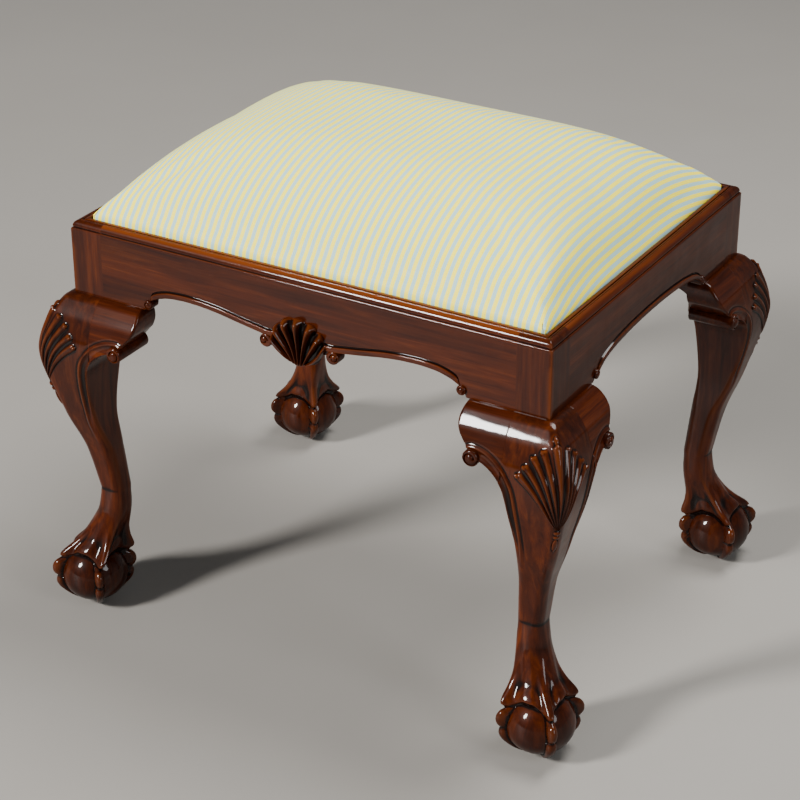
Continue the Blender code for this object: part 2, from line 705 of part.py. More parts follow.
def screw(z):
    """Countersunk screw turned from its half profile, along the diagonal of the corner."""
    seat = screw_seat() + GLUE_GAP
    tip = POST_SIZE * math.sqrt(2) - SCREW_BITE
    profile = [
        (0.4 * SCREW_RADIUS, tip),
        (SCREW_RADIUS, tip + 2 * SCREW_RADIUS),
        (SCREW_RADIUS, seat),
        (SCREW_HEAD_RADIUS, seat),
        (SCREW_HEAD_RADIUS, seat + 0.5 * SCREW_HEAD_HEIGHT),
        (0.6 * SCREW_HEAD_RADIUS, seat + SCREW_HEAD_HEIGHT),
    ]
    rings = []
    for radius, depth in profile:
        ring = polygon(radius, SCREW_SIDES)
        rings.append([((-depth - p) / math.sqrt(2), (-depth + p) / math.sqrt(2), z + q) for p, q in ring])
    return at_corner(loft(rings))


def build_screws():
    for z, level in zip(screw_heights(), ("lower", "upper")):
        pattern = piece("screw", screw(z), STEEL, 0.35, 1.0)
        for corner, signs in CORNERS.items():
            piece("corner_screw_{}_{}".format(corner, level), mirrored(pattern.data, *signs), STEEL, 0.35, 1.0)
        bpy.data.objects.remove(pattern)


def seat_outline(inset):
    """Rounded rectangle of the seat, drawn in by the inset, as (x, y) points."""
    half_x, half_y = SEAT_HALF_X - inset, SEAT_HALF_Y - inset
    radius = SEAT_CORNER_RADIUS
    points = []
    for k, (sx, sy) in enumerate(((1, 1), (-1, 1), (-1, -1), (1, -1))):
        centre = (sx * (half_x - radius), sy * (half_y - radius))
        points += arc(centre, radius, 90 * k, 90 * k + 90, 4)
        straight = half_x - radius if k % 2 == 0 else half_y - radius
        count = 7 if k % 2 == 0 else 5
        for s in np.linspace(1, -1, count + 2)[1:-1]:
            along = s * straight * (1 if k in (0, 1) else -1)
            points.append((along, sy * half_y) if k % 2 == 0 else (sx * half_x, along))
    return points


def crown_height(x, y, inset):
    """Height of the padded top: rounded edges and a crown in both directions."""
    half_x, half_y = SEAT_HALF_X - inset, SEAT_HALF_Y - inset
    edge = 1.0
    crown = 1.0
    for value, half, power in ((abs(x), half_x, CROWN_POWER_X), (abs(y), half_y, CROWN_POWER_Y)):
        out = min(1.0, max(0.0, (value - (half - CROWN_EDGE_RADIUS)) / CROWN_EDGE_RADIUS))
        edge *= math.sqrt(1 - out**2)
        crown *= max(0.0, 1 - (value / half) ** power)
    return RIM_TOP - inset + CROWN_EDGE_RISE * edge + CROWN_RISE * crown


CROWN_RINGS = (1.0, 0.985, 0.965, 0.93, 0.88, 0.79, 0.65, 0.45, 0.22)


def crown_rings(inset, shares):
    outline = seat_outline(inset)
    return [[(x * s, y * s, crown_height(x * s, y * s, inset)) for x, y in outline] for s in shares]


def build_cover():
    """Cover: over the crown, down the sides and turned under the seat frame, with its inner face parallel."""
    under = COVER_TURN_UNDER
    outer = crown_rings(0, CROWN_RINGS)
    inner = crown_rings(COVER_THICKNESS, CROWN_RINGS)
    inside = SEAT_BOTTOM + COVER_THICKNESS
    rings = list(reversed(inner))
    rings.append([(x, y, inside) for x, y in seat_outline(COVER_THICKNESS)])
    rings.append([(x, y, inside) for x, y in seat_outline(under)])
    rings.append([(x, y, SEAT_BOTTOM) for x, y in seat_outline(under)])
    rings.append([(x, y, SEAT_BOTTOM) for x, y in seat_outline(0)])
    rings += outer
    top = (0, 0, crown_height(0, 0, 0))
    below = (0, 0, crown_height(0, 0, COVER_THICKNESS))
    body = loft(rings, below, top)
    bmesh.ops.triangulate(body, faces=body.faces, quad_method="SHORT_EDGE")
    piece("seat_cover", body, SATIN, 0.45, smooth_angle=60)


def build_foam():
    inset = COVER_THICKNESS + GLUE_GAP
    rings = crown_rings(inset, CROWN_RINGS[1:])
    rings.insert(0, [(x, y, FOAM_BOTTOM) for x, y, _ in rings[0]])
    body = loft(rings, None, (0, 0, crown_height(0, 0, inset)))
    bmesh.ops.triangulate(body, faces=body.faces, quad_method="SHORT_EDGE")
    piece("foam_pad", body, FOAM, 0.9, smooth_angle=60)


def build_seat_frame():
    """Four boards with half-lapped corners; the long boards lie over the side boards' laps."""
    half_x, half_y = SEAT_HALF_X - SEAT_FRAME_INSET, SEAT_HALF_Y - SEAT_FRAME_INSET
    low, high = SEAT_FRAME_BOTTOM, SEAT_FRAME_TOP
    over = (low + high + GLUE_GAP) / 2
    below = over - GLUE_GAP
    shoulder = half_x - SEAT_FRAME_WIDTH - GLUE_GAP
    long_half = [(0, low), (shoulder, low), (shoulder, over), (half_x, over), (half_x, high)]
    shoulder = half_y - SEAT_FRAME_WIDTH - GLUE_GAP
    side_half = [(0, low), (half_y, low), (half_y, below), (shoulder, below), (shoulder, high)]
    for sign, front in ((-1, "front"), (1, "back")):
        outline = long_half + [(-p, z) for p, z in reversed(long_half[1:])]
        near, far = sign * half_y, sign * (half_y - SEAT_FRAME_WIDTH)
        piece("seat_frame_" + front, prism(outline, near, far, lambda p, z, y: (p, y, z)), SOFTWOOD, 0.6)
    for sign, left in ((-1, "left"), (1, "right")):
        outline = side_half + [(-p, z) for p, z in reversed(side_half[1:])]
        near, far = sign * half_x, sign * (half_x - SEAT_FRAME_WIDTH)
        piece("seat_frame_" + left, prism(outline, near, far, lambda p, z, x: (x, p, z)), SOFTWOOD, 0.6)


def build_webbing():
    """Straps tacked to the seat frame: the cross straps lie over the long ones."""
    half_x = SEAT_HALF_X - SEAT_FRAME_INSET - WEBBING_MARGIN
    half_y = SEAT_HALF_Y - SEAT_FRAME_INSET - WEBBING_MARGIN
    sets = (
        ("webbing_long", LONG_STRAPS, half_x, SEAT_HALF_Y - SEAT_FRAME_WIDTH, LONG_STRAP_BOTTOM, False),
        ("webbing_cross", CROSS_STRAPS, half_y, SEAT_HALF_X - SEAT_FRAME_WIDTH, CROSS_STRAP_BOTTOM, True),
    )
    for name, count, reach, span, bottom, crosswise in sets:
        for k in range(count):
            middle = span * (2 * (k + 0.5) / count - 1)
            low = (-reach, middle - WEBBING_WIDTH / 2, bottom)
            high = (reach, middle + WEBBING_WIDTH / 2, bottom + WEBBING_THICKNESS)
            strap = box(low, high)
            if crosswise:
                bmesh.ops.rotate(strap, verts=strap.verts, matrix=Matrix.Rotation(math.pi / 2, 3, "Z"))
            piece("{}_{}".format(name, k + 1), strap, JUTE, 0.9)


def build_dust_cover():
    half_x = FRAME_WIDTH / 2 - POST_SIZE - DUST_COVER_CLEARANCE
    half_y = FRAME_DEPTH / 2 - POST_SIZE - DUST_COVER_CLEARANCE
    top = SEAT_BOTTOM - GLUE_GAP
    piece("dust_cover", box((-half_x, -half_y, top - DUST_COVER_THICKNESS), (half_x, half_y, top)), CAMBRIC, 0.95)


def main():
    for obj in list(bpy.data.objects):
        bpy.data.objects.remove(obj)
    build_legs()
    for side in RAILS:
        build_rail(side)
    for side in LONG_RAILS:
        build_shell(side)
    build_knee_blocks()
    build_corner_blocks()
    build_screws()
    build_seat_frame()
    build_webbing()
    build_foam()
    build_cover()
    build_dust_cover()


main()
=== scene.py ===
import math

import bpy
import numpy as np
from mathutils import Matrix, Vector


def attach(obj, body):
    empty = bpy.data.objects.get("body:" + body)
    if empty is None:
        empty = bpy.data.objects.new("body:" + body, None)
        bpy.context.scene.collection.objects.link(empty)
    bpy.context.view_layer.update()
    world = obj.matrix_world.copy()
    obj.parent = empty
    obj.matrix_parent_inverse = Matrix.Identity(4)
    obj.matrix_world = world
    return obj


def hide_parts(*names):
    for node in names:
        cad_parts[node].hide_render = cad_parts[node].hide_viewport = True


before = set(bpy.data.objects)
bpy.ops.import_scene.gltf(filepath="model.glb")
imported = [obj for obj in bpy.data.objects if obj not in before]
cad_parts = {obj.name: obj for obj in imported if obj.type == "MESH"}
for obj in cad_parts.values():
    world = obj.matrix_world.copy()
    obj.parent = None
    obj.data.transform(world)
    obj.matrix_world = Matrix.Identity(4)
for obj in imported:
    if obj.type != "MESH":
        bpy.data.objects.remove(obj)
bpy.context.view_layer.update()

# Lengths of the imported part, in metres
FRAME_WIDTH = 0.550
FRAME_DEPTH = 0.432
RIM_TOP = 0.452
RAIL_HEIGHT = 0.0792
RAIL_THICKNESS = 0.024
POST_SIZE = 0.037
RIM_WIDTH = 0.0145
REBATE_DEPTH = 0.015
GLUE_GAP = 0.0003
KNEE_TOP = RIM_TOP - RAIL_HEIGHT
LEDGE = RIM_TOP - REBATE_DEPTH

MOULDING_HEIGHT = 0.012
MOULDING_WIDTH = 0.0095
QUIRK_WIDTH = 0.001
QUIRK_DEPTH = 0.002

LONG_ARCH_RISE = 0.0217
SIDE_ARCH_RISE = 0.0247
BEAD_PROUD = 0.002
KNEE_SCROLL_RADIUS = 0.005
SHELL_SCROLL_RADIUS = 0.007
SCROLL_BED = 0.010
PENDANT_DROP = 0.004

SHELL_HEIGHT = 0.052
SHELL_HALF_WIDTH = 0.031
SHELL_HANG = 0.0148

KNEE_LEDGE = 0.007
KNEE_REACH = 0.0312
KNEE_CREST_DROP = 0.062
CALF_DROP = 0.137
CALF_OUTER = 0.0165
CALF_INNER = 0.0262
SHANK_HEIGHT = 0.190
SHANK_OUTER = 0.0025
SHANK_INNER = 0.0311
ANKLE_HEIGHT = 0.138
ANKLE_OUTER = -0.0064
ANKLE_INNER = 0.0352
LEG_CORNER_RADIUS = 0.011

BALL_RADIUS = 0.036
BALL_HEIGHT = 0.0345
WEB_LIP_RADIUS = 0.0255

BLOCK_REACH = 0.088
BLOCK_BACK = 0.018
LOBE_HEIGHT = 0.026
LOBE_ROUND = 0.003
VOLUTE_INSET = 0.0205
VOLUTE_DROP = 0.045
VOLUTE_RADIUS = 0.0085
SCROLL_FOOT_DROP = 0.123
SCROLL_FOOT_SIDE = 0.018

SEAT_HALF_X = FRAME_WIDTH / 2 - RIM_WIDTH - 0.001
SEAT_HALF_Y = FRAME_DEPTH / 2 - RIM_WIDTH - 0.001
SEAT_BOTTOM = LEDGE + GLUE_GAP
SEAT_CORNER_RADIUS = 0.006
CROWN_EDGE_RISE = 0.0233
CROWN_EDGE_RADIUS = 0.0255
CROWN_RISE = 0.0594
CROWN_POWER_X = 5.7
CROWN_POWER_Y = 3.35

CORNERS = {"front_left": (-1, -1), "front_right": (1, -1), "back_left": (-1, 1), "back_right": (1, 1)}
# Each rail's turn in degrees, half length and face's distance from the middle
RAILS = {
    "front": (0, FRAME_WIDTH / 2, FRAME_DEPTH / 2),
    "right": (90, FRAME_DEPTH / 2, FRAME_WIDTH / 2),
    "back": (180, FRAME_WIDTH / 2, FRAME_DEPTH / 2),
    "left": (270, FRAME_DEPTH / 2, FRAME_WIDTH / 2),
}
LONG_RAILS = ("front", "back")
QUARTER = math.pi / 2
# A quad's corners in turned order
TURNED = [0, 3, 2, 1]


def smooth_curve(knots, x):
    """Cubic through (position, value) knots that never overshoots them, read at x."""
    xs, ys = np.array(sorted(knots), float).T
    step = np.diff(xs)
    slope = np.diff(ys) / step
    tangent = cat(slope[:1], np.zeros(len(xs) - 2), slope[-1:])
    same_way = slope[:-1] * slope[1:] > 0
    inner = np.where(same_way, slope[:-1] + slope[1:], 1.0)
    tangent[1:-1] = np.where(same_way, 2 * slope[:-1] * slope[1:] / inner, 0.0)
    x = np.clip(np.asarray(x, float), xs[0], xs[-1])
    i = np.clip(np.searchsorted(xs, x) - 1, 0, len(xs) - 2)
    t = (x - xs[i]) / step[i]
    rise = ys[i] + (ys[i + 1] - ys[i]) * t * t * (3 - 2 * t)
    return rise + step[i] * t * (1 - t) * (tangent[i] * (1 - t) - tangent[i + 1] * t)


def cat(*arrays):
    return np.concatenate(arrays)


def columns(*arrays):
    return np.stack(arrays, 1)


def clamp(x):
    return np.clip(x, 0, 1)


def run_along(points, axis=0):
    """Length of the way along points up to each of them."""
    return np.insert(np.cumsum(np.linalg.norm(np.diff(points, axis=axis), axis=-1), axis), 0, 0, axis)


def ramp(x, start, end):
    """Soft step from 0 at start to 1 at end."""
    t = clamp((x - start) / (end - start))
    return t * t * (3 - 2 * t)


def dome(x):
    """Half circle of height 1 over -1 to 1."""
    return np.sqrt(np.maximum(1 - np.asarray(x, float) ** 2, 0))


def bell(x):
    """Bell curve of height 1."""
    return np.exp(-(x**2))


def arc(start, end, count):
    """Points of the unit circle between two angles in degrees."""
    return [(math.cos(g), math.sin(g)) for g in np.radians(np.linspace(start, end, count))]


def unit(vectors):
    """Vectors made 1 long."""
    return vectors / np.maximum(np.linalg.norm(vectors, axis=-1, keepdims=True), 1e-12)


def grid_quads(rows, cols, closed=True):
    """Quads of a grid of points, closed round its rows or left open."""
    i, j = np.meshgrid(np.arange(rows - 1), np.arange(cols if closed else cols - 1), indexing="ij")
    k = (j + 1) % cols
    return np.stack([i * cols + j, i * cols + k, (i + 1) * cols + k, (i + 1) * cols + j], -1).reshape(-1, 4)


def ring_quads(*rings):
    """Quads between closed rings of point numbers."""
    return np.concatenate(rings)[grid_quads(len(rings), len(rings[0]))]


def cover_faces(nx, ny, *rings):
    """Faces of a grid, of the rings below its edge, and of the fan from the last ring to the last point."""
    ring = rings[-1]
    fan = columns(ring, np.full(len(ring), ring[-1] + 1), np.roll(ring, -1))
    return grid_quads(nx, ny, False)[:, TURNED], ring_quads(*rings)[:, TURNED], fan


def border(nx, ny):
    """Point numbers round the edge of a grid, in order."""
    i, j = np.arange(nx), np.arange(ny)
    return cat(i[:-1] * ny, (nx - 1) * ny + j[:-1], i[:0:-1] * ny + ny - 1, j[:0:-1])


class Shape:
    """Points and faces gathered for one piece."""

    def __init__(self):
        self.points = []
        self.faces = []
        self.count = 0

    def add(self, points, *faces):
        points = np.asarray(points, float).reshape(-1, 3)
        self.points.append(points)
        self.faces += [np.asarray(f) + self.count for f in faces]
        self.count += len(points)
        return self

    def tube(self, grid, first=None, last=None):
        """Closed skin over the grid's rows, each end fanned to a point (the ring's middle if none is given)."""
        grid = np.asarray(grid, float)
        rows, cols = grid.shape[:2]
        first = grid[0].mean(0) if first is None else first
        last = grid[-1].mean(0) if last is None else last
        ring = np.arange(cols)
        after = np.roll(ring, -1)
        start = columns(after, ring, np.full(cols, rows * cols))
        ring, after = ring + (rows - 1) * cols, after + (rows - 1) * cols
        end = columns(ring, after, np.full(cols, rows * cols + 1))
        return self.add(cat(grid.reshape(-1, 3), [first, last]), grid_quads(rows, cols), start, end)

    def moved(self, change, flip=False):
        """Copy with every point passed through change, which takes and gives arrays of x, y and z."""
        copy = Shape()
        copy.points = [np.stack(change(*points.T), 1) for points in self.points]
        copy.faces = [f[:, ::-1] for f in self.faces] if flip else list(self.faces)
        copy.count = self.count
        return copy

    def turned(self):
        """Copy with its faces turned round."""
        return self.moved(lambda *place: place, flip=True)

    def mirrored(self):
        return self.moved(lambda x, y, z: (-x, y, z), flip=True)


def joined(*shapes):
    result = Shape()
    for shape in shapes:
        result.points += shape.points
        result.faces += [f + result.count for f in shape.faces]
        result.count += shape.count
    return result


def read(items, key, width, kind=float):
    """One value of every vertex or edge, as rows of an array."""
    values = np.empty(len(items) * width, kind)
    items.foreach_get(key, values)
    return values.reshape(-1, width)


def store(mesh, name, values):
    """Keeps a number or a vector for each point of a mesh."""
    kind, key = ("FLOAT", "value") if values.ndim == 1 else ("FLOAT_VECTOR", "vector")
    mesh.attributes.new(name, kind, "POINT").data.foreach_set(key, values.ravel())


# Longer edges count little from the first length on, and points with one past the second not at all
FINE_EDGE = 0.0016
LONG_EDGE = 0.0045


def cavity(points, edges, normals, rounds):
    """How far each point lies below its smoothed surroundings, in metres: more in hollows, below 0 on ridges."""
    a, b = edges.T
    count = len(points)
    length = np.linalg.norm(points[a] - points[b], axis=1)
    weight = 1 / (1 + (length / FINE_EDGE) ** 4)
    total = np.bincount(a, weight, count) + np.bincount(b, weight, count) + 1e-3
    soft = points.copy()
    for _ in range(rounds):
        lean = weight * (soft[b] - soft[a]).T
        pull = [np.bincount(a, part, count) - np.bincount(b, part, count) for part in lean]
        soft = soft + 0.5 * np.stack(pull, 1) / total[:, None]
    longest = np.zeros(count)
    np.maximum.at(longest, a, length)
    np.maximum.at(longest, b, length)
    return ((soft - points) * normals).sum(1) * (longest < LONG_EDGE)


def piece(name, shape, material, body, nodes=(), sharp=40, hollow=None, painted_shade=None):
    """Links a shape as a named piece that rides on a body and stands for CAD nodes."""
    points = np.concatenate(shape.points)
    mesh = bpy.data.meshes.new(name)
    mesh.vertices.add(len(points))
    mesh.vertices.foreach_set("co", points.ravel())
    corners = np.concatenate([f.ravel() for f in shape.faces]).astype(np.int32)
    sizes = np.concatenate([np.full(len(f), f.shape[1]) for f in shape.faces])
    mesh.loops.add(len(corners))
    mesh.loops.foreach_set("vertex_index", corners)
    mesh.polygons.add(len(sizes))
    mesh.polygons.foreach_set("loop_start", cat([0], np.cumsum(sizes)[:-1]).astype(np.int32))
    mesh.update(calc_edges=True)
    mesh.validate()
    mesh.shade_smooth()
    mesh.set_sharp_from_angle(angle=math.radians(sharp))
    if hollow:
        parts = read(mesh.vertices, "co", 3), read(mesh.edges, "vertices", 2, np.int32)
        parts += (read(mesh.vertices, "normal", 3),)
        # The fine cavity marks dark glaze in crevices; the broad cavity and the extra darkness passed in are painted
        # shade.
        depth = 1000 * (cavity(*parts, hollow) + 0.35 * np.maximum(cavity(*parts, 8 * hollow), 0))
        if painted_shade is not None:
            depth[: len(painted_shade)] += painted_shade
        store(mesh, "hollow", depth)
    obj = bpy.data.objects.new(name, mesh)
    mesh.materials.append(material)
    bpy.context.scene.collection.objects.link(obj)
    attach(obj, body)
    if nodes:
        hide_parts(*nodes)
    return obj


# Materials: every helper works in the node tree of the sockets it is given

def new_material(name):
    made = bpy.data.materials.new(name)
    made.use_nodes = True
    return made, made.node_tree, made.node_tree.nodes["Principled BSDF"]


def is_socket(value):
    return isinstance(value, bpy.types.NodeSocket)


def feed(socket, value):
    """Links a socket to another, or sets its value."""
    if is_socket(value):
        value.id_data.links.new(value, socket)
    else:
        socket.default_value = value


def node(tree, kind, values=None, **settings):
    """New node with its settings, and its inputs linked or set."""
    made = tree.nodes.new("ShaderNode" + kind)
    for key, value in settings.items():
        setattr(made, key, value)
    for key, value in (values or {}).items():
        feed(made.inputs[key], value)
    return made


def finish(shader, **values):
    """Links or sets a shader's inputs, named with _ for each space."""
    for key, value in values.items():
        feed(shader.inputs[key.replace("_", " ")], value)


def tree_of(values):
    return next(value for value in values if is_socket(value)).id_data


def maths(operation, *values):
    return node(tree_of(values), "Math", dict(enumerate(values)), operation=operation).outputs[0]


def times(a, b):
    return maths("MULTIPLY", a, b)


def spread(value, low, high, to_low=0.0, to_high=1.0):
    """Value mapped from low..high to to_low..to_high, softly."""
    values = {"Value": value, "From Min": low, "From Max": high, "To Min": to_low, "To Max": to_high}
    return node(value.id_data, "MapRange", values, interpolation_type="SMOOTHSTEP").outputs[0]


def blend(share, a, b, kind="MIX"):
    values = {0: share, 6: a if is_socket(a) else (*a, 1.0), 7: b if is_socket(b) else (*b, 1.0)}
    return node(tree_of((share, a, b)), "Mix", values, data_type="RGBA", blend_type=kind).outputs[2]


def noise(place, scale, detail=4.0, roughness=0.55, distortion=0.0):
    values = {"Vector": place, "Scale": scale, "Detail": detail, "Roughness": roughness, "Distortion": distortion}
    return node(place.id_data, "TexNoise", values).outputs["Fac"]


def bump(height, strength, distance):
    values = {"Strength": strength, "Distance": distance, "Height": height}
    return node(height.id_data, "Bump", values).outputs[0]


def object_place(tree):
    return node(tree, "TexCoord").outputs["Object"]


def attribute(tree, name, output="Fac"):
    return node(tree, "Attribute", attribute_name=name).outputs[output]


def parts_of(vector):
    return node(vector.id_data, "SeparateXYZ", {0: vector}).outputs


def scaled(place, *scale):
    return node(place.id_data, "Mapping", {"Vector": place, "Scale": scale}).outputs[0]


def along_grain(place, axis, squeeze):
    return scaled(place, *[squeeze if letter == axis else 1.0 for letter in "XYZ"])


WOOD_TONES = ((0.30, (0.024, 0.0036, 0.0007)), (0.52, (0.052, 0.0085, 0.0012)), (0.74, (0.098, 0.0190, 0.0024)))
# Pore colour, and the painted light on the rim's up-facing top
PORE, RIM_TOP_LIGHT = (0.006, 0.0015, 0.0008), (0.200, 0.045, 0.006)
# Edge wear colour, and near black for hollows: dark glaze in crevices and painted shade
WORN, GLAZE_AND_SHADE = (0.130, 0.030, 0.005), (0.0030, 0.0010, 0.0007)


def mahogany(name, along, light=1.0, top_light=0.0):
    """Dark red-brown polished wood with its grain along an axis, warmer on worn edges, near black in hollows from dark
    glaze and painted shade, with painted shade towards the floor and painted light on the rim's up-facing top.
    """
    made, tree, shader = new_material(name)
    place = object_place(tree)
    height = parts_of(place)[2]
    grain = along_grain(place, along, 0.06)
    tone = node(tree, "ValToRGB", {"Fac": noise(grain, 150.0, 6.0, 0.62, 0.5)})
    tone.color_ramp.elements.new(0.5)
    for element, (position, colour) in zip(tone.color_ramp.elements, WOOD_TONES):
        element.position = position
        element.color = (*[light * c for c in colour], 1.0)
    shade = spread(noise(grain, 24.0, 3.0), 0.32, 0.68, 0.72, 1.25)
    # Painted shade: darker towards the floor, most on the feet.
    shade = times(shade, spread(height, 0.02, 0.12, 0.42, 1.0))
    shade = times(shade, spread(height, 0.22, 0.33, 1.5, 1.0))
    grey = node(tree, "CombineColor", {0: shade, 1: shade, 2: shade}).outputs[0]
    colour = blend(1.0, tone.outputs["Color"], grey, "MULTIPLY")
    pores = spread(noise(along_grain(place, along, 0.035), 900.0, 2.0), 0.60, 0.72)
    colour = blend(times(pores, 0.25), colour, PORE)
    facing = parts_of(node(tree, "NewGeometry").outputs["Normal"])[2]
    # Painted light: up-facing surfaces at the rim's top are brightened orange, more on the front and back rails.
    colour = blend(times(spread(height, 0.442, 0.446), spread(facing, 0.35, 0.9, 0.0, top_light)), colour, RIM_TOP_LIGHT)
    hollow = attribute(tree, "hollow")
    worn = spread(times(hollow, -1.0), 0.05, 0.35, 0.0, 0.42)
    # Edge wear is painted fainter towards the floor, part of the same painted shade.
    colour = blend(times(worn, spread(height, 0.02, 0.11, 0.5, 1.0)), colour, WORN)
    # Near black in hollows: dark glaze in fine crevices plus painted shade in broad hollows and painted grooves.
    glaze_and_shade = spread(hollow, 0.02, 0.30, 0.0, 0.97)
    wear = spread(noise(place, 35.0, 5.0), 0.3, 0.7, 0.30, 0.42)
    finish(shader, Base_Color=blend(glaze_and_shade, colour, GLAZE_AND_SHADE), Roughness=maths("MULTIPLY_ADD", glaze_and_shade, 0.2, wear))
    finish(shader, Coat_Weight=0.36, Coat_Roughness=0.055, Coat_IOR=1.5, Specular_IOR_Level=0.03)
    finish(shader, Normal=bump(times(pores, -1.0), 0.08, 0.0003))
    finish(shader, Coat_Normal=bump(noise(place, 45.0, 1.0), 0.08, 0.0012))
    return made


def softwood(name, along):
    """Unfinished pale board with growth rings along an axis."""
    made, tree, shader = new_material(name)
    grain = along_grain(object_place(tree), along, 0.05)
    rings = noise(grain, 70.0, 3.0, 0.5, 0.8)
    colour = blend(spread(rings, 0.35, 0.65), (0.60, 0.42, 0.23), (0.42, 0.26, 0.12))
    fibre = noise(grain, 500.0, 4.0)
    colour = blend(spread(fibre, 0.55, 0.75, 0.0, 0.4), colour, (0.30, 0.18, 0.08))
    finish(shader, Base_Color=colour, Roughness=0.68, Normal=bump(fibre, 0.35, 0.0006))
    return made


def screw_steel(name):
    made, tree, shader = new_material(name)
    stain = noise(object_place(tree), 420.0, 5.0)
    colour = blend(spread(stain, 0.45, 0.7), (0.55, 0.54, 0.51), (0.34, 0.31, 0.27))
    finish(shader, Base_Color=colour, Roughness=spread(stain, 0.35, 0.7, 0.28, 0.5), Metallic=1.0)
    finish(shader, Normal=bump(stain, 0.2, 0.0003))
    return made


def woven(place, pitch):
    """Plain weave of two sets of threads: height from 0 to 1."""
    x, y = [maths("SINE", times(part, math.pi / pitch)) for part in parts_of(place)[:2]]
    side = maths("GREATER_THAN", times(x, y), 0.0)
    return node(place.id_data, "Mix", {0: side, 2: maths("ABSOLUTE", x), 3: maths("ABSOLUTE", y)}).outputs[0]


def fabric(name, dark, pale, pitch):
    """Plain coarse cloth with a weave, for webbing and dust cover."""
    made, tree, shader = new_material(name)
    place = object_place(tree)
    weave = woven(place, pitch)
    share = maths("MULTIPLY_ADD", noise(place, 90.0), 0.5, times(weave, 0.5))
    finish(shader, Base_Color=blend(share, dark, pale), Roughness=0.9, Sheen_Weight=0.25, Sheen_Roughness=0.5)
    finish(shader, Normal=bump(weave, 0.6, 0.4 * pitch))
    return made


STRIPE_PERIOD = 0.00837
RIB_PERIOD = 0.0009
BLUE_GREY, GOLD, THREAD, FOLD_SHADE = (0.34, 0.56, 0.54), (1.0, 0.82, 0.02), (0.93, 0.92, 0.74), (0.06, 0.05, 0.03)


def striped_satin(name):
    """Satin with gold and pale blue-grey stripes.

    The attribute cloth holds the place on the flat cloth, and fold the distance in mm from the line of a
    corner's fold and the line's strength; painted shade darkens the cloth along that line.
    """
    made, tree, shader = new_material(name)
    cloth = attribute(tree, "cloth", "Vector")
    across, along = parts_of(cloth)[:2]
    wave = maths("PINGPONG", maths("ADD", times(across, 1.0 / STRIPE_PERIOD), 200.25), 0.5)
    gold = spread(wave, 0.215, 0.285)
    threads = noise(scaled(cloth, 1.0, 0.02, 1.0), 2600.0, 2.0)
    colour = blend(spread(threads, 0.35, 0.75, 0.0, 0.10), blend(gold, BLUE_GREY, GOLD), THREAD)
    distance, strength = parts_of(attribute(tree, "fold", "Vector"))[:2]
    # Painted shade along the line of each corner's fold.
    line = times(spread(maths("ABSOLUTE", distance), 0.18, 0.62, 0.92, 0.0), strength)
    slub = noise(scaled(cloth, 0.03, 1.0, 1.0), 1500.0, 2.0)
    finish(shader, Base_Color=blend(line, colour, FOLD_SHADE), Roughness=spread(slub, 0.3, 0.7, 0.34, 0.46))
    finish(shader, Sheen_Weight=0.04, Sheen_Roughness=0.35, Specular_IOR_Level=0.10, Anisotropic=0.3)
    ribs = maths("SINE", times(along, 2 * math.pi / RIB_PERIOD))
    height = maths("MULTIPLY_ADD", threads, 0.6, times(ribs, 0.12))
    finish(shader, Normal=bump(maths("MULTIPLY_ADD", gold, 0.35, height), 0.28, 0.0004))
    return made


# Legs, in corner coordinates: a and b run outward along X and Y from the post's outer corner

LEDGE_ROUND = 0.0052
LEDGE_DEPTH = 0.0062
LEDGE_STEPS = np.array((0.0, 0.02, 0.06, 0.12, 0.2, 0.32, 0.45, 0.6, 0.8))
KNEE_KNOTS = (
    (KNEE_TOP, KNEE_LEDGE),
    (KNEE_TOP - KNEE_CREST_DROP * 0.35, KNEE_LEDGE + 0.60 * (KNEE_REACH - KNEE_LEDGE)),
    (KNEE_TOP - KNEE_CREST_DROP, KNEE_REACH),
    (KNEE_TOP - CALF_DROP, CALF_OUTER),
    (SHANK_HEIGHT, SHANK_OUTER),
    (ANKLE_HEIGHT, ANKLE_OUTER),
)
VOLUTE_SIDE = BLOCK_REACH - VOLUTE_INSET
VOLUTE_LEVEL = KNEE_TOP - VOLUTE_DROP
THROAT_LOW = KNEE_TOP - SCROLL_FOOT_DROP
THROAT_RISE = SCROLL_FOOT_DROP - VOLUTE_DROP


def knee_face(z):
    """Reach of the knee beyond the frame's face, with the round that rolls it into the crease under the rail."""
    up = clamp((z - (KNEE_TOP - LEDGE_ROUND)) / LEDGE_ROUND)
    return smooth_curve(KNEE_KNOTS, z) - LEDGE_DEPTH * (1 - dome(up))


def scroll_side(z):
    """Distance of the C-scroll's edge from the post's outer corner: a quarter ellipse under the volute."""
    share = clamp((z - THROAT_LOW) / THROAT_RISE)
    return VOLUTE_SIDE - (VOLUTE_SIDE - SCROLL_FOOT_SIDE) * np.sqrt(1 - share**2)


BLOCK_FOOT_SHARE = (VOLUTE_SIDE - POST_SIZE) / (VOLUTE_SIDE - SCROLL_FOOT_SIDE)
BLOCK_FOOT = THROAT_LOW + THROAT_RISE * math.sqrt(1 - BLOCK_FOOT_SHARE**2)
BLEND_TOP = BLOCK_FOOT + 0.007
BLEND_LOW = BLOCK_FOOT - 0.018
INNER_KNOTS = (
    (KNEE_TOP, POST_SIZE),
    (BLOCK_FOOT, POST_SIZE),
    (BLOCK_FOOT - 0.25 * (BLOCK_FOOT - KNEE_TOP + CALF_DROP), CALF_INNER + 0.4 * (POST_SIZE - CALF_INNER)),
    (KNEE_TOP - CALF_DROP, CALF_INNER),
    (SHANK_HEIGHT, SHANK_INNER),
    (ANKLE_HEIGHT, ANKLE_INNER),
)


def leg_inner(z):
    """Distance of the leg's inner faces from the post's outer corner."""
    return smooth_curve(INNER_KNOTS, z)


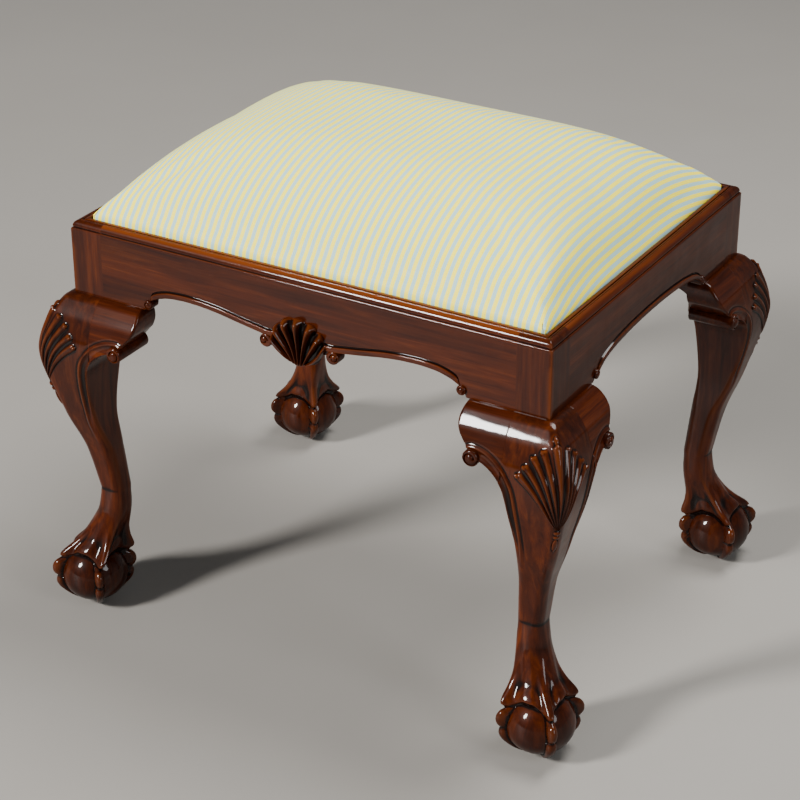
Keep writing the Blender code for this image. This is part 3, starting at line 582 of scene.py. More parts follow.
def scroll_edge(z):
    """Edge of the C-scroll: the quarter ellipse, eased into the leg's inner arris."""
    step = 0.0002
    high, low = float(scroll_side(BLEND_TOP)), float(leg_inner(BLEND_LOW))
    span = BLEND_TOP - BLEND_LOW
    high_slope = (float(scroll_side(BLEND_TOP + step)) - high) / step * span
    low_slope = (low - float(leg_inner(BLEND_LOW - step))) / step * span
    t = clamp((z - BLEND_LOW) / span)
    eased = (2 * t**3 - 3 * t**2 + 1) * low + (t**3 - 2 * t**2 + t) * low_slope
    eased = eased + (3 * t**2 - 2 * t**3) * high + (t**3 - t**2) * high_slope
    return np.where(z >= BLEND_TOP, scroll_side(z), np.where(z <= BLEND_LOW, leg_inner(z), eased))


def edge_level(reach):
    """Height at which the eased edge stands at a distance from the post's outer corner."""
    z = np.linspace(BLEND_LOW, BLEND_TOP, 400)
    return float(z[np.argmax(scroll_edge(z) > reach)])


BLOCK_LAP = 0.0025
BLOCK_TIP = edge_level(POST_SIZE)
BLOCK_END = edge_level(POST_SIZE - BLOCK_LAP + 0.0004)
SCROLL_LOW = 0.185


def throat_rows(count):
    """Heights from the volute's middle down to the end of the ellipse, spaced evenly along it."""
    turn = np.linspace(QUARTER, math.asin((BLEND_TOP - THROAT_LOW) / THROAT_RISE), count)
    return THROAT_LOW + THROAT_RISE * np.sin(turn)


def scroll_band(d, z):
    """C-scroll along its edge, down block and leg: a hollow band between a crisp edge and a thin raised bead."""
    path_z = cat(throat_rows(80), np.linspace(BLEND_TOP, SCROLL_LOW, 130)[1:])
    path = columns(scroll_edge(path_z), path_z)
    near = (z > SCROLL_LOW) & (z < KNEE_TOP)
    best = np.full(near.sum(), 1.0)
    for chunk in np.array_split(path, 20):
        gap = np.hypot(d[near][:, None] - chunk[None, :, 0], z[near][:, None] - chunk[None, :, 1])
        best = np.minimum(best, gap.min(1))
    e = np.full(d.shape, 1.0)
    e[near] = best
    width = smooth_curve([(0.19, 0.0060), (0.25, 0.0072), (0.30, 0.0088), (0.3278, 0.0096)], z)
    cove = -0.0014 * np.sin(math.pi * clamp(e / width))
    bead = 0.0010 * bell((e - width - 0.0008) / 0.0015)
    line = -0.0005 * bell((e - width - 0.0040) / 0.0013)
    edge = 0.0004 * bell((e - 0.0006) / 0.0007)
    return (cove + bead + line + edge) * ramp(z, 0.195, 0.26)


SHELL_RIBS = np.linspace(-4.75, 4.75, 135)
SHELL_SHARE = 0.62
SHELL_FOOT = 0.271
SHELL_LOW = 0.248
SIDE_STEPS = 1 - (1 - np.linspace(0, 1, 43)[1:]) ** 1.3
INNER_STEPS = np.linspace(-1, 1, 66)[1:-1]
RIB_TABLE = np.linspace(0, 5.5, 111)
TIP_SIDE = ((0, 0), (1, 0.015), (2, 0.0265), (3, 0.037), (4, 0.045), (4.5, 0.0482), (5.5, 0.060))
TIP_RISE = ((0, 0.092), (1, 0.085), (2, 0.0765), (3, 0.0655), (4, 0.056), (4.5, 0.051), (5.5, 0.045))
TIP_BEND = 0.95
# Beads of the husk under the shell: place, half width, half height and rise
HUSK = ((-0.0012, 0.0036, 0.0026, 0.0024), (-0.0072, 0.0032, 0.0026, 0.0022), (-0.0195, 0.0026, 0.0085, 0.0017))


def square_radius(angles, half, outer, side):
    """Distance from the middle of a rounded square to its edge, by angle."""
    radius = np.where((angles // QUARTER).astype(int) % 4 == 0, outer, side)
    across, along = np.abs(np.cos(angles)), np.abs(np.sin(angles))
    flat = half / np.maximum(across, along)
    straight = half - radius
    reach = straight * (across + along)
    round_part = reach + np.sqrt(np.maximum(reach**2 - 2 * straight**2 + radius**2, 0))
    return np.where(flat * np.minimum(across, along) <= straight, flat, round_part)


def rib_places(rise):
    """Distance of each rib of the table from the knee's corner line at a height above the shell's foot."""
    tip_s, tip_v = smooth_curve(TIP_SIDE, RIB_TABLE), smooth_curve(TIP_RISE, RIB_TABLE)
    share = np.minimum(max(rise, 1e-4) / tip_v, 1)
    curve = (1 - np.sqrt(1 - (TIP_BEND * share) ** 2)) / (1 - math.sqrt(1 - TIP_BEND**2))
    return np.maximum.accumulate(tip_s * (0.68 * share + 0.32 * curve) + 1e-7 * RIB_TABLE)


def knee_carving(s, v):
    """Shell of nine rounded ribs between dark flutes on the knee's corner, a bead at each tip, a husk below."""
    rib = np.array([np.interp(np.abs(row), rib_places(rise), RIB_TABLE) for row, rise in zip(s, v)])
    v = v[:, None] + 0 * s
    x = 2 * (rib - np.round(rib))
    tip = smooth_curve(TIP_RISE, rib)
    grow = 0.30 + 0.70 * ramp(v / tip, 0.02, 0.5)
    height = 0.0037 * (0.5 + 0.5 * np.cos(math.pi * x)) ** 0.6 - 0.0014
    height = np.where(rib > 4, 0.0022 * dome(np.minimum((rib - 4) / 0.44, 1)), height)
    past = v - tip + 0.0034 * (1 - dome(0.97 * x))
    relief = height * grow * (1 - ramp(past, -0.0016, 0.0006)) * ramp(v, -0.001, 0.004) * (rib < 4.44)
    for n in range(-4, 5):
        place_s = math.copysign(float(smooth_curve(TIP_SIDE, abs(n))), n)
        place_v = float(smooth_curve(TIP_RISE, abs(n))) - 0.0022
        gap = np.hypot(s - place_s, v - place_v)
        relief = np.maximum(relief, 0.0034 * dome(np.minimum(gap / 0.0024, 1)) ** 0.8)
    gap = np.hypot(s / 0.0021, (v - float(smooth_curve(TIP_RISE, 0)) - 0.0038) / 0.0042)
    relief = np.maximum(relief, 0.0026 * dome(np.minimum(gap, 1)) ** 0.8)
    for place, half_width, half_height, rise in HUSK:
        gap = np.hypot(s / half_width, (v - place) / half_height)
        relief = np.maximum(relief, rise * dome(np.minimum(gap, 1)))
        relief = relief - 0.0006 * bell((gap - 1.12) / 0.14) * (gap > 1)
    return relief


def knee_grid():
    """Knee and shank, with columns that follow the shell's ribs, then the columns' angles at the ankle."""
    top = KNEE_TOP - LEDGE_ROUND * LEDGE_STEPS
    shell = np.linspace(KNEE_TOP - LEDGE_ROUND, SHELL_LOW, 145)
    z = cat(top, shell, np.linspace(SHELL_LOW, ANKLE_HEIGHT, 42)[1:])
    outer, inner = knee_face(z), -np.where(z > BLOCK_TIP, POST_SIZE, scroll_edge(z))
    middle, half = (outer + inner) / 2, (outer - inner) / 2
    sides = [(BLOCK_TIP, 0.0002), (0.27, 0.0015), (0.236, 0.004), (SHANK_HEIGHT, LEG_CORNER_RADIUS)]
    side = smooth_curve(sides, z)
    corner = smooth_curve([(KNEE_TOP, 0.006), (0.345, 0.0095), (0.31, 0.011), (0.2, 0.010)], z)

    def outline(k, angles):
        radius = square_radius(angles, half[k], corner[k], side[k])
        return middle[k] + radius[:, None] * columns(np.cos(angles), np.sin(angles))

    fine = np.linspace(-QUARTER / 2, 1.5 * QUARTER, 1201)
    back = 2.5 * QUARTER + QUARTER * (0.75 * INNER_STEPS + 0.25 * INNER_STEPS**3)
    path = [outline(k, fine) for k in range(len(z))]
    mid = len(fine) // 2
    spine = np.array([np.append(p[mid], h) for p, h in zip(path, z)])
    fall = run_along(spine)
    rise = np.interp(-SHELL_FOOT, -z, fall) - fall
    follow = ramp(rise, -0.034, 0.004) * (1 - ramp(rise, 0.094, 0.107))
    rows, places = [], []
    for k in range(len(z)):
        run = run_along(path[k])
        run = run - run[mid]
        whole = min(run[-1], -run[0])
        carved = np.interp(np.abs(SHELL_RIBS), RIB_TABLE, rib_places(max(rise[k], 0.007)))
        plain = SHELL_SHARE * whole * SHELL_RIBS / SHELL_RIBS[-1]
        shell = plain + (np.sign(SHELL_RIBS) * carved - plain) * follow[k]
        edge = min(shell[-1], 0.93 * whole)
        flank = edge + (whole - edge) * SIDE_STEPS
        at = cat(-flank[::-1], shell * edge / shell[-1], flank)
        front = np.stack([np.interp(at, run, part) for part in path[k].T], 1)
        ring = cat(front, outline(k, back))
        rows.append(np.column_stack([ring, np.full(len(ring), z[k])]))
        places.append(cat(at, np.full(len(back), 1.0)))
    grid, s = np.array(rows), np.array(places)
    normal = unit(np.cross(np.gradient(grid, axis=0), np.roll(grid, -1, 1) - np.roll(grid, 1, 1)))
    band = scroll_band(-np.minimum(grid[:, :, 0], grid[:, :, 1]), grid[:, :, 2])
    carved = (s < 0.5) * ramp(KNEE_TOP - z, 0.002, 0.006)[:, None]
    grid = grid + normal * ((knee_carving(s, rise) + band) * carved)[:, :, None]
    angles = np.arctan2(grid[-1, :, 1] - middle[-1], grid[-1, :, 0] - middle[-1])
    return grid, np.where(angles < -0.5 * QUARTER - 1e-6, angles + 4 * QUARTER, angles)


# Rise and half width of a claw over the ball, by degrees from the ball's top
CLAW_HEIGHTS = (
    (40, 0.0), (52, 0.0022), (58, 0.0056), (62.5, 0.0078), (66, 0.0098), (74, 0.0114), (81, 0.0104),
    (86.5, 0.0076), (90, 0.0048), (93.5, 0.0060), (100, 0.0071), (108, 0.0063), (115, 0.0048), (122, 0.0035),
    (132, 0.0022), (150, 0.0008), (165, 0.0),
)
CLAW_WIDTHS = (
    (40, 0.0040), (58, 0.0050), (63, 0.0053), (68, 0.0060), (74, 0.0063), (82, 0.0057), (90, 0.0044),
    (95, 0.0061), (101, 0.0067), (108, 0.0064), (118, 0.0054), (132, 0.0040), (165, 0.0018),
)
BALL_SQUASH = 0.88
LIP_AT_CLAW = 0.0588
LIP_AT_WEB = 0.0675
LIP_SPREAD = 0.0405
LIP_ROLL = 0.0027
LIP_CREST = 0.957
# How far the first two rows under the lip keep the lip's reach
LIP_HOLD = (0.93, 0.5)


def from_claw(angles):
    """Angle from the nearest claw, which lies on a corner of the square."""
    return np.abs((angles % QUARTER) - QUARTER / 2)


def round_row(middle, radius, angles, z):
    return columns(middle + radius * np.cos(angles), middle + radius * np.sin(angles), z)


def foot_grid(ankle, angles):
    """Rows from the ankle to the rolled lip of the webs, then over ball and claws to the floor."""
    ankle_middle = (ANKLE_OUTER - ANKLE_INNER) / 2
    ankle_half = (ANKLE_OUTER + ANKLE_INNER) / 2
    ankle_radius = np.hypot(ankle[:, 0] - ankle_middle, ankle[:, 1] - ankle_middle)
    offset = from_claw(angles)
    lip = LIP_AT_CLAW + (LIP_AT_WEB - LIP_AT_CLAW) * ramp(offset, math.radians(1), math.radians(36))
    shares = cat(np.linspace(0, 0.86, 38)[1:], np.linspace(0.86, 1, 20)[1:])
    inward = smooth_curve([(0, 1), (0.3, 0.92), (0.7, 0.5), (1, 0.1)], shares)
    web_growth = smooth_curve([(0, 0), (0.3, 0.14), (0.7, 0.46), (1, 1)], shares)
    ridge_growth = smooth_curve([(0, 0), (0.3, 0.06), (0.6, 0.26), (1, 1)], shares)
    web = ankle_half + (WEB_LIP_RADIUS - 0.0012 - ankle_half) * web_growth
    ridge = ankle_half * 1.12 + (LIP_SPREAD - ankle_half * 1.12) * ridge_growth
    half_width = smooth_curve([(0, 0.0075), (0.5, 0.0064), (0.8, 0.0058), (1, 0.0056)], shares)
    power = smooth_curve([(0, 2.4), (0.5, 2.8), (1, 3.0)], shares)
    rolled = np.where(shares < LIP_CREST, ramp(shares, 0.78, LIP_CREST), dome((shares - LIP_CREST) / 0.0435))
    rows = []
    for k, share in enumerate(shares):
        ridged = 1 / (1 + (offset * ridge[k] / half_width[k]) ** power[k])
        radius = web[k] + (ridge[k] - web[k]) * ridged + LIP_ROLL * rolled[k] * (1 - 0.35 * ridged)
        radius = radius - 0.0024 * ridged * (1 - dome(clamp((share - 0.92) / 0.081)))
        radius = ankle_radius + (radius - ankle_radius) * ramp(share, 0, 0.22)
        level = ANKLE_HEIGHT + (lip - ANKLE_HEIGHT) * share
        rows.append(round_row(ankle_middle * inward[k], radius, angles, level))
    last = rows[-1]
    lip_polar = np.arctan2(np.hypot(last[:, 0], last[:, 1]), last[:, 2] - BALL_HEIGHT)
    lip_reach = np.linalg.norm(last - (0, 0, BALL_HEIGHT), axis=1)
    floor_polar = math.acos(-BALL_HEIGHT / BALL_RADIUS)
    turn = np.arctan2(last[:, 1], last[:, 0])
    for k, share in enumerate(cat([0.0, 0.008], np.linspace(0.02, 1, 74))):
        polar = lip_polar + (floor_polar - lip_polar) * share
        degrees = np.degrees(polar)
        across = from_claw(turn) * BALL_RADIUS * np.sin(polar) * 1.25
        grip = dome(across / smooth_curve(CLAW_WIDTHS, degrees))
        reach = BALL_RADIUS + smooth_curve(CLAW_HEIGHTS, degrees) * grip
        if k < len(LIP_HOLD):
            reach = reach + (lip_reach - reach) * LIP_HOLD[k]
        drop = reach * np.cos(polar)
        drop = np.where(drop < 0, drop * (BALL_SQUASH + (1 - BALL_SQUASH) * ramp(grip, 0, 0.6)), drop)
        rows.append(round_row(0, reach * np.sin(polar), turn, np.maximum(BALL_HEIGHT + drop, 0)))
    return np.array(rows)


def rounded(points, radius, count):
    """Open polyline with its inner corners rounded, as an array."""
    points = np.asarray(points, float)
    result = [points[0]]
    for before, corner, after in zip(points, points[1:], points[2:]):
        back, on = before - corner, after - corner
        reach = min(radius, 0.45 * np.linalg.norm(back), 0.45 * np.linalg.norm(on))
        start, end = corner + unit(back) * reach, corner + unit(on) * reach
        result += [(1 - t) ** 2 * start + 2 * t * (1 - t) * corner + t**2 * end for t in np.linspace(0, 1, count)]
    return np.array(result + [points[-1]])


NOSE_HEIGHT = 0.0062
NOSE_INSET = 0.0013
ASTRAGAL_RADIUS = 0.0010
ASTRAGAL_ROOM = 0.0024
FACE_DROPS = (0.026, 0.023, 0.020, 0.0172, 0.0145, MOULDING_HEIGHT, 0.0092)
# Point of a section at which the ends of posts and rails are fanned
FAN_DEPTH = 0.008
FAN_LEVEL = 0.436


def rim_profile():
    """Moulding from the outer face up over the rim, down the rebate and across its ledge, as (t, z) points."""
    back = MOULDING_WIDTH
    width = back - ASTRAGAL_ROOM - NOSE_INSET
    nose = RIM_TOP - 0.0003 - NOSE_HEIGHT
    points = [(0, RIM_TOP - drop) for drop in FACE_DROPS]
    points += [(0.0003, RIM_TOP - 0.0083), (0.0009, RIM_TOP - 0.0078), (0.0021, RIM_TOP - 0.0077)]
    points += [(0.0022, nose - 0.0004), (NOSE_INSET + 0.0002, nose - 0.0001)]
    points += [(NOSE_INSET + width + width * x, nose + NOSE_HEIGHT * y) for x, y in arc(176, 90, 16)]
    points += [(back - ASTRAGAL_ROOM, RIM_TOP - 0.0012), (back - 0.0020, RIM_TOP - 0.0012)]
    r = ASTRAGAL_RADIUS
    points += [(back - r + r * x, RIM_TOP - 0.0011 + r * y) for x, y in arc(150, 20, 7)]
    quirk = RIM_TOP - QUIRK_DEPTH
    points += [(back, quirk), (back + QUIRK_WIDTH, quirk), (back + QUIRK_WIDTH, RIM_TOP)]
    points += [(RIM_WIDTH, RIM_TOP), (RIM_WIDTH, LEDGE), (RIM_WIDTH + 0.004, LEDGE)]
    return rounded(points, 0.0004, 3)[1:-1]


def post_shape():
    """Corner post with the rim moulding mitred round its outer corner."""
    inner = POST_SIZE * 0.998
    low = KNEE_TOP - 0.001
    face = [(0, z) for z in np.linspace(low, RIM_TOP - 0.0262, 15)]
    t, z = cat(face, rim_profile(), [(inner, LEDGE), (inner, low)]).T
    ease = 0.0007
    start = np.minimum(t + ease, POST_SIZE)
    reach = [start + (POST_SIZE - start) * k for k in np.linspace(1, 0, 12)]
    rows = [columns(-r, -t, z) for r in reach]
    rows.append(columns(-t - 0.3 * ease, -t - 0.3 * ease, z))
    rows += [columns(-t, -r, z) for r in reach[::-1]]
    return Shape().tube(rows, (-POST_SIZE, -FAN_DEPTH, FAN_LEVEL), (-FAN_DEPTH, -POST_SIZE, FAN_LEVEL))


def build_legs(material):
    knee, angles = knee_grid()
    grid = cat(knee, foot_grid(knee[-1], angles))
    half = POST_SIZE / 2
    shape = joined(Shape().tube(grid, (-half, -half, KNEE_TOP), (0, 0, 0)), post_shape().turned())
    for corner, (sx, sy) in CORNERS.items():
        def place(a, b, z):
            return sx * (FRAME_WIDTH / 2 + a), sy * (FRAME_DEPTH / 2 + b), z

        leg = shape.moved(place, flip=sx * sy > 0)
        piece("carved_leg_" + corner, leg, material, "frame", ["leg_" + corner], hollow=10)


# Rails, in rail coordinates: u along the rail, t inward from its outer face, z up

def rail_place(side):
    """Function from rail coordinates to the part's frame."""
    turn, _, face = RAILS[side]
    c, s = round(math.cos(math.radians(turn))), round(math.sin(math.radians(turn)))
    return lambda u, t, z: (c * u - s * (t - face), s * u + c * (t - face), z)


SIDE_ARCH = ((0, 1), (0.12, 0.995), (0.3, 0.965), (0.55, 0.87), (0.72, 0.735), (0.84, 0.55), (0.93, 0.285), (1, 0))
LONG_ARCH = (
    (0, 0.44), (0.2, 0.655), (0.42, 0.9), (0.55, 0.98), (0.64, 1), (0.76, 0.955), (0.88, 0.76), (0.96, 0.45), (1, 0),
)


def arch_edge(side, count):
    """Right half of a rail's lower edge, from the middle out to the knee block, as (u, z)."""
    end = RAILS[side][1] - BLOCK_REACH - 2 * GLUE_GAP
    start, height, knots = 0, SIDE_ARCH_RISE, SIDE_ARCH
    if side in LONG_RAILS:
        start, height, knots = SHELL_HALF_WIDTH + SHELL_SCROLL_RADIUS + 2 * GLUE_GAP, LONG_ARCH_RISE, LONG_ARCH
    shares = 1 - (1 - np.linspace(0, 1, count)) ** 1.5
    return columns(start + (end - start) * shares, KNEE_TOP + height * smooth_curve(knots, shares))


BEAD_FACE = 0.0056
GROOVE_WIDTH = 0.0024
GROOVE_DEPTH = 0.0014
FACE_STEPS = (0.3, 0.5, 0.7)
BACK_EASE = 0.001


def rail_section():
    """Bead and groove at the lower edge as (distance from the edge, t) pairs."""
    half = BEAD_FACE / 2
    pairs = [(0.0, 0.004), (0.0, 0.0008)]
    pairs += [(half + half * x, -BEAD_PROUD * y**0.35) for x, y in arc(170, 6, 13)]
    for k in np.linspace(0.12, 1, 8):
        pairs.append((BEAD_FACE + GROOVE_WIDTH * k, GROOVE_DEPTH * math.sin(math.pi * k) ** 0.7))
    return np.array(pairs + [(BEAD_FACE + GROOVE_WIDTH + 0.0007, 0.0)])


def rail_rows(edge, up, bead_share):
    """Closed sections of a rail along its lower edge."""
    section = rail_section()
    rim = rim_profile()
    thick = RAIL_THICKNESS
    rows = []
    for (u, z), (nu, nz), share in zip(edge, up, bead_share):
        e, t = section.T
        t = np.where(e > 0, t * share, t)
        e = e * max(share, 0.05)
        lower = columns(u + nu * e, t, z + nz * e)
        top = np.column_stack([np.full(len(rim), u), rim])
        face = [lower[-1] + k * (top[0] - lower[-1]) for k in FACE_STEPS]
        back = [(u, thick - BACK_EASE, LEDGE), (u, thick, LEDGE - BACK_EASE)]
        back += [(u, thick, z + BACK_EASE), (u, thick - BACK_EASE, z)]
        rows.append(cat(lower, face, top, back))
    return rows


def rail_groove_shadow(bead_share):
    """Painted shadow in the groove above the bead, at each point of a rail's sections."""
    e = rail_section()[:, 0]
    inside = (e > BEAD_FACE) & (e < BEAD_FACE + GROOVE_WIDTH)
    row = cat(0.4 * inside, np.zeros(len(FACE_STEPS) + len(rim_profile()) + 4))
    return (bead_share[:, None] * row[None, :]).ravel()


def scroll_shape(radius, proud, depth, u, z, hand, start=0.0, lean=0.0):
    """Small rolled end: a domed eye that a spiral band winds round, widest at the start angle."""
    angles = np.linspace(0, 2 * math.pi, 72, endpoint=False)
    groove = (0.50 + 0.44 * (((angles - start) / (2 * math.pi)) % 1) ** 1.2) * (1 - 0.9 * lean)
    rows = []
    for k, share in enumerate(cat([1.0, 1.0, 0.99, 0.965], np.linspace(0.935, 0.02, 30))):
        ring = 0.35 + 0.50 * dome(clamp((share - 0.80) / 0.205))
        off = np.hypot(share * np.cos(angles) - lean, share * np.sin(angles))
        eye = 0.35 + 0.85 * dome(clamp(off / groove))
        front = -proud * np.where(off > groove, ring, eye) + 0.35 * proud * bell((off - groove) / 0.05)
        t = np.full(len(angles), depth) if k == 0 else front
        r = radius * share
        rows.append(columns(u + hand * r * np.cos(angles), t, z + r * np.sin(angles)))
    return Shape().tube(rows)


# Columns of a long rail's half behind its shell; the bead starts where the shell covers its end
SHELL_COLUMNS = np.array((0, 0.010, 0.020, 0.0265, 0.0275, 0.029, 0.031, 0.033, 0.035, 0.037))
BEAD_START = 0.027


def build_rail(side, material):
    end = RAILS[side][1] - POST_SIZE
    long_side = side in LONG_RAILS
    arch = arch_edge(side, 70)
    arch_end = arch[-1, 0]
    along = unit(np.gradient(arch, axis=0))
    if not long_side:
        along[0] = (1, 0)
    upright = ramp(arch[:, 0], arch_end - 0.030, arch_end - 0.010)[:, None]
    up = unit((1 - upright) * columns(-along[:, 1], along[:, 0]) + upright * (0, 1))
    tail = np.linspace(arch_end + 0.0002, end, 24)
    edge = cat(arch, columns(tail, 0 * tail + KNEE_TOP))
    up = cat(up, [(0, 1)] * len(tail))
    share = cat(1 - ramp(arch[:, 0], arch_end - 0.011, arch_end - 0.005), 0 * tail)
    if long_side:
        lead = SHELL_COLUMNS
        edge = cat(columns(lead, 0 * lead + arch[0, 1]), edge)
        up = cat([(0, 1)] * len(lead), up)
        share = cat(1.0 * (lead > BEAD_START), share)
    edge, up = [cat(half[:0:-1] * (-1, 1), half) for half in (edge, up)]
    share = cat(share[:0:-1], share)
    body = Shape().tube(rail_rows(edge, up, share), (-end, FAN_DEPTH, FAN_LEVEL), (end, FAN_DEPTH, FAN_LEVEL))
    knee_end = arch_end - KNEE_SCROLL_RADIUS - GLUE_GAP
    knee_level = KNEE_TOP + KNEE_SCROLL_RADIUS + BEAD_PROUD
    scroll = scroll_shape(KNEE_SCROLL_RADIUS, 0.003, SCROLL_BED, knee_end, knee_level, -1).turned()
    parts = [body.turned(), scroll, scroll.mirrored()]
    if long_side:
        inner, level = arch[0, 0], KNEE_TOP + PENDANT_DROP
        high = arch[0, 1] + 0.001
        curl = scroll_shape(SHELL_SCROLL_RADIUS, 0.0034, SCROLL_BED, inner, level, 1, math.pi, 0.28)
        corners = ((0.0004, level), (0.0004, high), (RAIL_THICKNESS, high), (RAIL_THICKNESS, level))
        pendant = Shape().tube([[(u, t, z) for t, z in corners] for u in (-inner, inner)])
        parts += [curl, curl.mirrored(), pendant.turned()]
    shape = joined(*parts).moved(rail_place(side))
    # Painted shadow in the groove above the bead.
    painted_shade = rail_groove_shadow(share)
    piece("moulded_rail_" + side, shape, material, "frame", ["rail_" + side], hollow=8, painted_shade=painted_shade)


SHELL_LOBES = 7
SHELL_CROWN = ((0, 0), (0.4, 0.36), (0.72, 0.82), (0.86, 1.0), (1, 0.95))


def build_shell(side, material):
    """Scallop of finger lobes with round tips and painted shade in the valleys between them, hung on the rail's face.
    """
    c, r = np.meshgrid(np.linspace(-1, 1, 30 * SHELL_LOBES + 1), np.linspace(0, 1, 76), indexing="xy")
    half_height = SHELL_HEIGHT / 2
    x = 2 * ((c + 1) / 2 * SHELL_LOBES % 1) - 1
    wave = (0.5 + 0.5 * np.cos(math.pi * x)) ** (0.85 + 0.45 * ramp(r, 0.3, 0.8))
    place = c * (1.16 - 0.16 * c**2)
    tip_turn = place * math.radians(97)
    reach = 1 - 0.15 * (1 - dome(0.99 * x))
    tip_u = SHELL_HALF_WIDTH * np.sin(tip_turn) * reach
    tip_z = half_height + half_height * np.cos(tip_turn) * reach
    bend_u = 0.0245 * place * (0.62 + 0.38 * place**2)
    bend_z = half_height - 0.023 * place**2
    u = (1 - r) ** 2 * 0.0080 * place + 2 * r * (1 - r) * bend_u + r**2 * tip_u
    z = (1 - r) ** 2 * 0.0042 * place**2 + 2 * r * (1 - r) * bend_z + r**2 * tip_z
    crown = (0.0042 + 0.0066 * smooth_curve(SHELL_CROWN, r)) * (1 - 0.28 * place**4)
    valley = 0.0080 * (1 - wave) * ramp(r, -0.12, 0.45)
    roll = dome(clamp((r - 0.87) / 0.13) * 0.998)
    start = dome(clamp(1 - r / 0.06) * 0.98)
    thick = np.maximum((crown - valley) * roll * start, 0.0003)
    front = np.stack([u, -GLUE_GAP - thick, KNEE_TOP - SHELL_HANG + z], 2)
    back = front.copy()
    back[:, :, 1] = -GLUE_GAP
    shape = Shape().tube(np.concatenate([front, back[:, ::-1]], 1)).moved(rail_place(side))
    # Painted shade in the valleys between the lobes.
    dark = 0.40 * ramp(1 - wave, 0.45, 0.85) * ramp(r, 0.05, 0.25) * (1 - ramp(r, 0.97, 1.0))
    painted_shade = np.concatenate([dark, 0 * dark], 1).ravel()
    piece("carved_shell_" + side, shape, material, "frame", ["shell_" + side], hollow=14, painted_shade=painted_shade)


# Knee blocks, with d from the post's outer corner along the rail and b outward

def block_edge(z):
    """Far edge of a knee block: lobe, neck and the throat under the volute."""
    lobe_foot = KNEE_TOP - LOBE_HEIGHT
    s = clamp((KNEE_TOP - z) / LOBE_HEIGHT)
    lobe = BLOCK_REACH - LOBE_ROUND * (2.2 * s - 1) ** 2
    knots = [(VOLUTE_LEVEL, VOLUTE_SIDE), (VOLUTE_LEVEL + 0.006, VOLUTE_SIDE + 0.0050)]
    neck = smooth_curve(knots + [(lobe_foot, BLOCK_REACH - LOBE_ROUND * 1.44)], z)
    return np.where(z >= lobe_foot, lobe, np.where(z >= VOLUTE_LEVEL, neck, scroll_edge(z)))


def block_shape():
    throat = cat(throat_rows(40), np.linspace(BLEND_TOP, BLOCK_END, 26)[1:])
    top = KNEE_TOP - GLUE_GAP - (LEDGE_ROUND - GLUE_GAP) * LEDGE_STEPS
    z = cat(top, np.linspace(KNEE_TOP - LEDGE_ROUND, VOLUTE_LEVEL, 52)[:-1], throat)
    near = POST_SIZE - BLOCK_LAP
    far = block_edge(z) - 0.0001 * (z < BLOCK_TIP)
    shares = cat([0, 0.003, 0.006, 0.012], np.linspace(0.03, 0.9, 42), np.linspace(0.9, 1, 14)[1:])
    d = near + (far - near)[:, None] * shares[None, :]
    zz = z[:, None] + 0 * d
    band = scroll_band(d, zz) * ramp(KNEE_TOP - zz, 0.002, 0.006)
    soft = np.where(zz < VOLUTE_LEVEL, 0.0012, 0.0030)
    roll = soft * (1 - dome(clamp(1 - (far[:, None] - d) / soft)))
    lift = 0.0001 - 0.0004 * (1 - ramp(d, near, near + 0.0004))
    b = knee_face(zz) + lift + band - roll
    front = np.stack([d, b, zz], 2)
    back = front[:, [-1, -1, 0], :].copy()
    back[:, 0, 1] = b[:, -1] - 0.0015
    back[:, 1:, 1] = -BLOCK_BACK
    shape = Shape().tube(np.concatenate([front, back], 1))
    face = float(smooth_curve(KNEE_KNOTS, VOLUTE_LEVEL))
    volute = scroll_shape(VOLUTE_RADIUS, 0.0045, face + BLOCK_BACK, VOLUTE_SIDE, VOLUTE_LEVEL, -1)
    return joined(shape, volute.moved(lambda u, t, z: (u, face - 0.0015 - t, z)))


def build_blocks(material_long, material_side):
    pattern = block_shape()
    for corner, (sx, sy) in CORNERS.items():
        def on_long(d, b, z):
            return sx * (FRAME_WIDTH / 2 - d), sy * (FRAME_DEPTH / 2 + b), z

        def on_side(d, b, z):
            return sx * (FRAME_WIDTH / 2 + b), sy * (FRAME_DEPTH / 2 - d), z

        ways = (("long", on_long, sx * sy > 0, material_long), ("side", on_side, sx * sy < 0, material_side))
        for way, place, flip, material in ways:
            name = "knee_block_" + corner + "_" + way
            piece("carved_" + name, pattern.moved(place, flip), material, "frame", [name], hollow=4)


# Seat

SEAT_PUFF = 0.0045
SEAT_SLIP = 0.0006
PLEAT_HEIGHT = 0.0145
COVER_TURN_UNDER = 0.030
SOLVER_STEPS = 20
SOLVER_GRID = 105, 81
SEAT_GRID = 181, 143


def crown_height(x, y):
    edge = crown = 1.0
    for value, half, power in ((np.abs(x), SEAT_HALF_X, CROWN_POWER_X), (np.abs(y), SEAT_HALF_Y, CROWN_POWER_Y)):
        edge = edge * dome(clamp((value - (half - CROWN_EDGE_RADIUS)) / CROWN_EDGE_RADIUS))
        crown = crown * np.maximum(0, 1 - (value / half) ** power)
    return RIM_TOP + CROWN_EDGE_RISE * edge + CROWN_RISE * crown


def edge_shares(count):
    """Shares from -1 to 1 that lie closer at both ends."""
    t = np.linspace(-1, 1, count)
    return np.sign(t) * (1 - (1 - np.abs(t)) ** 1.7)


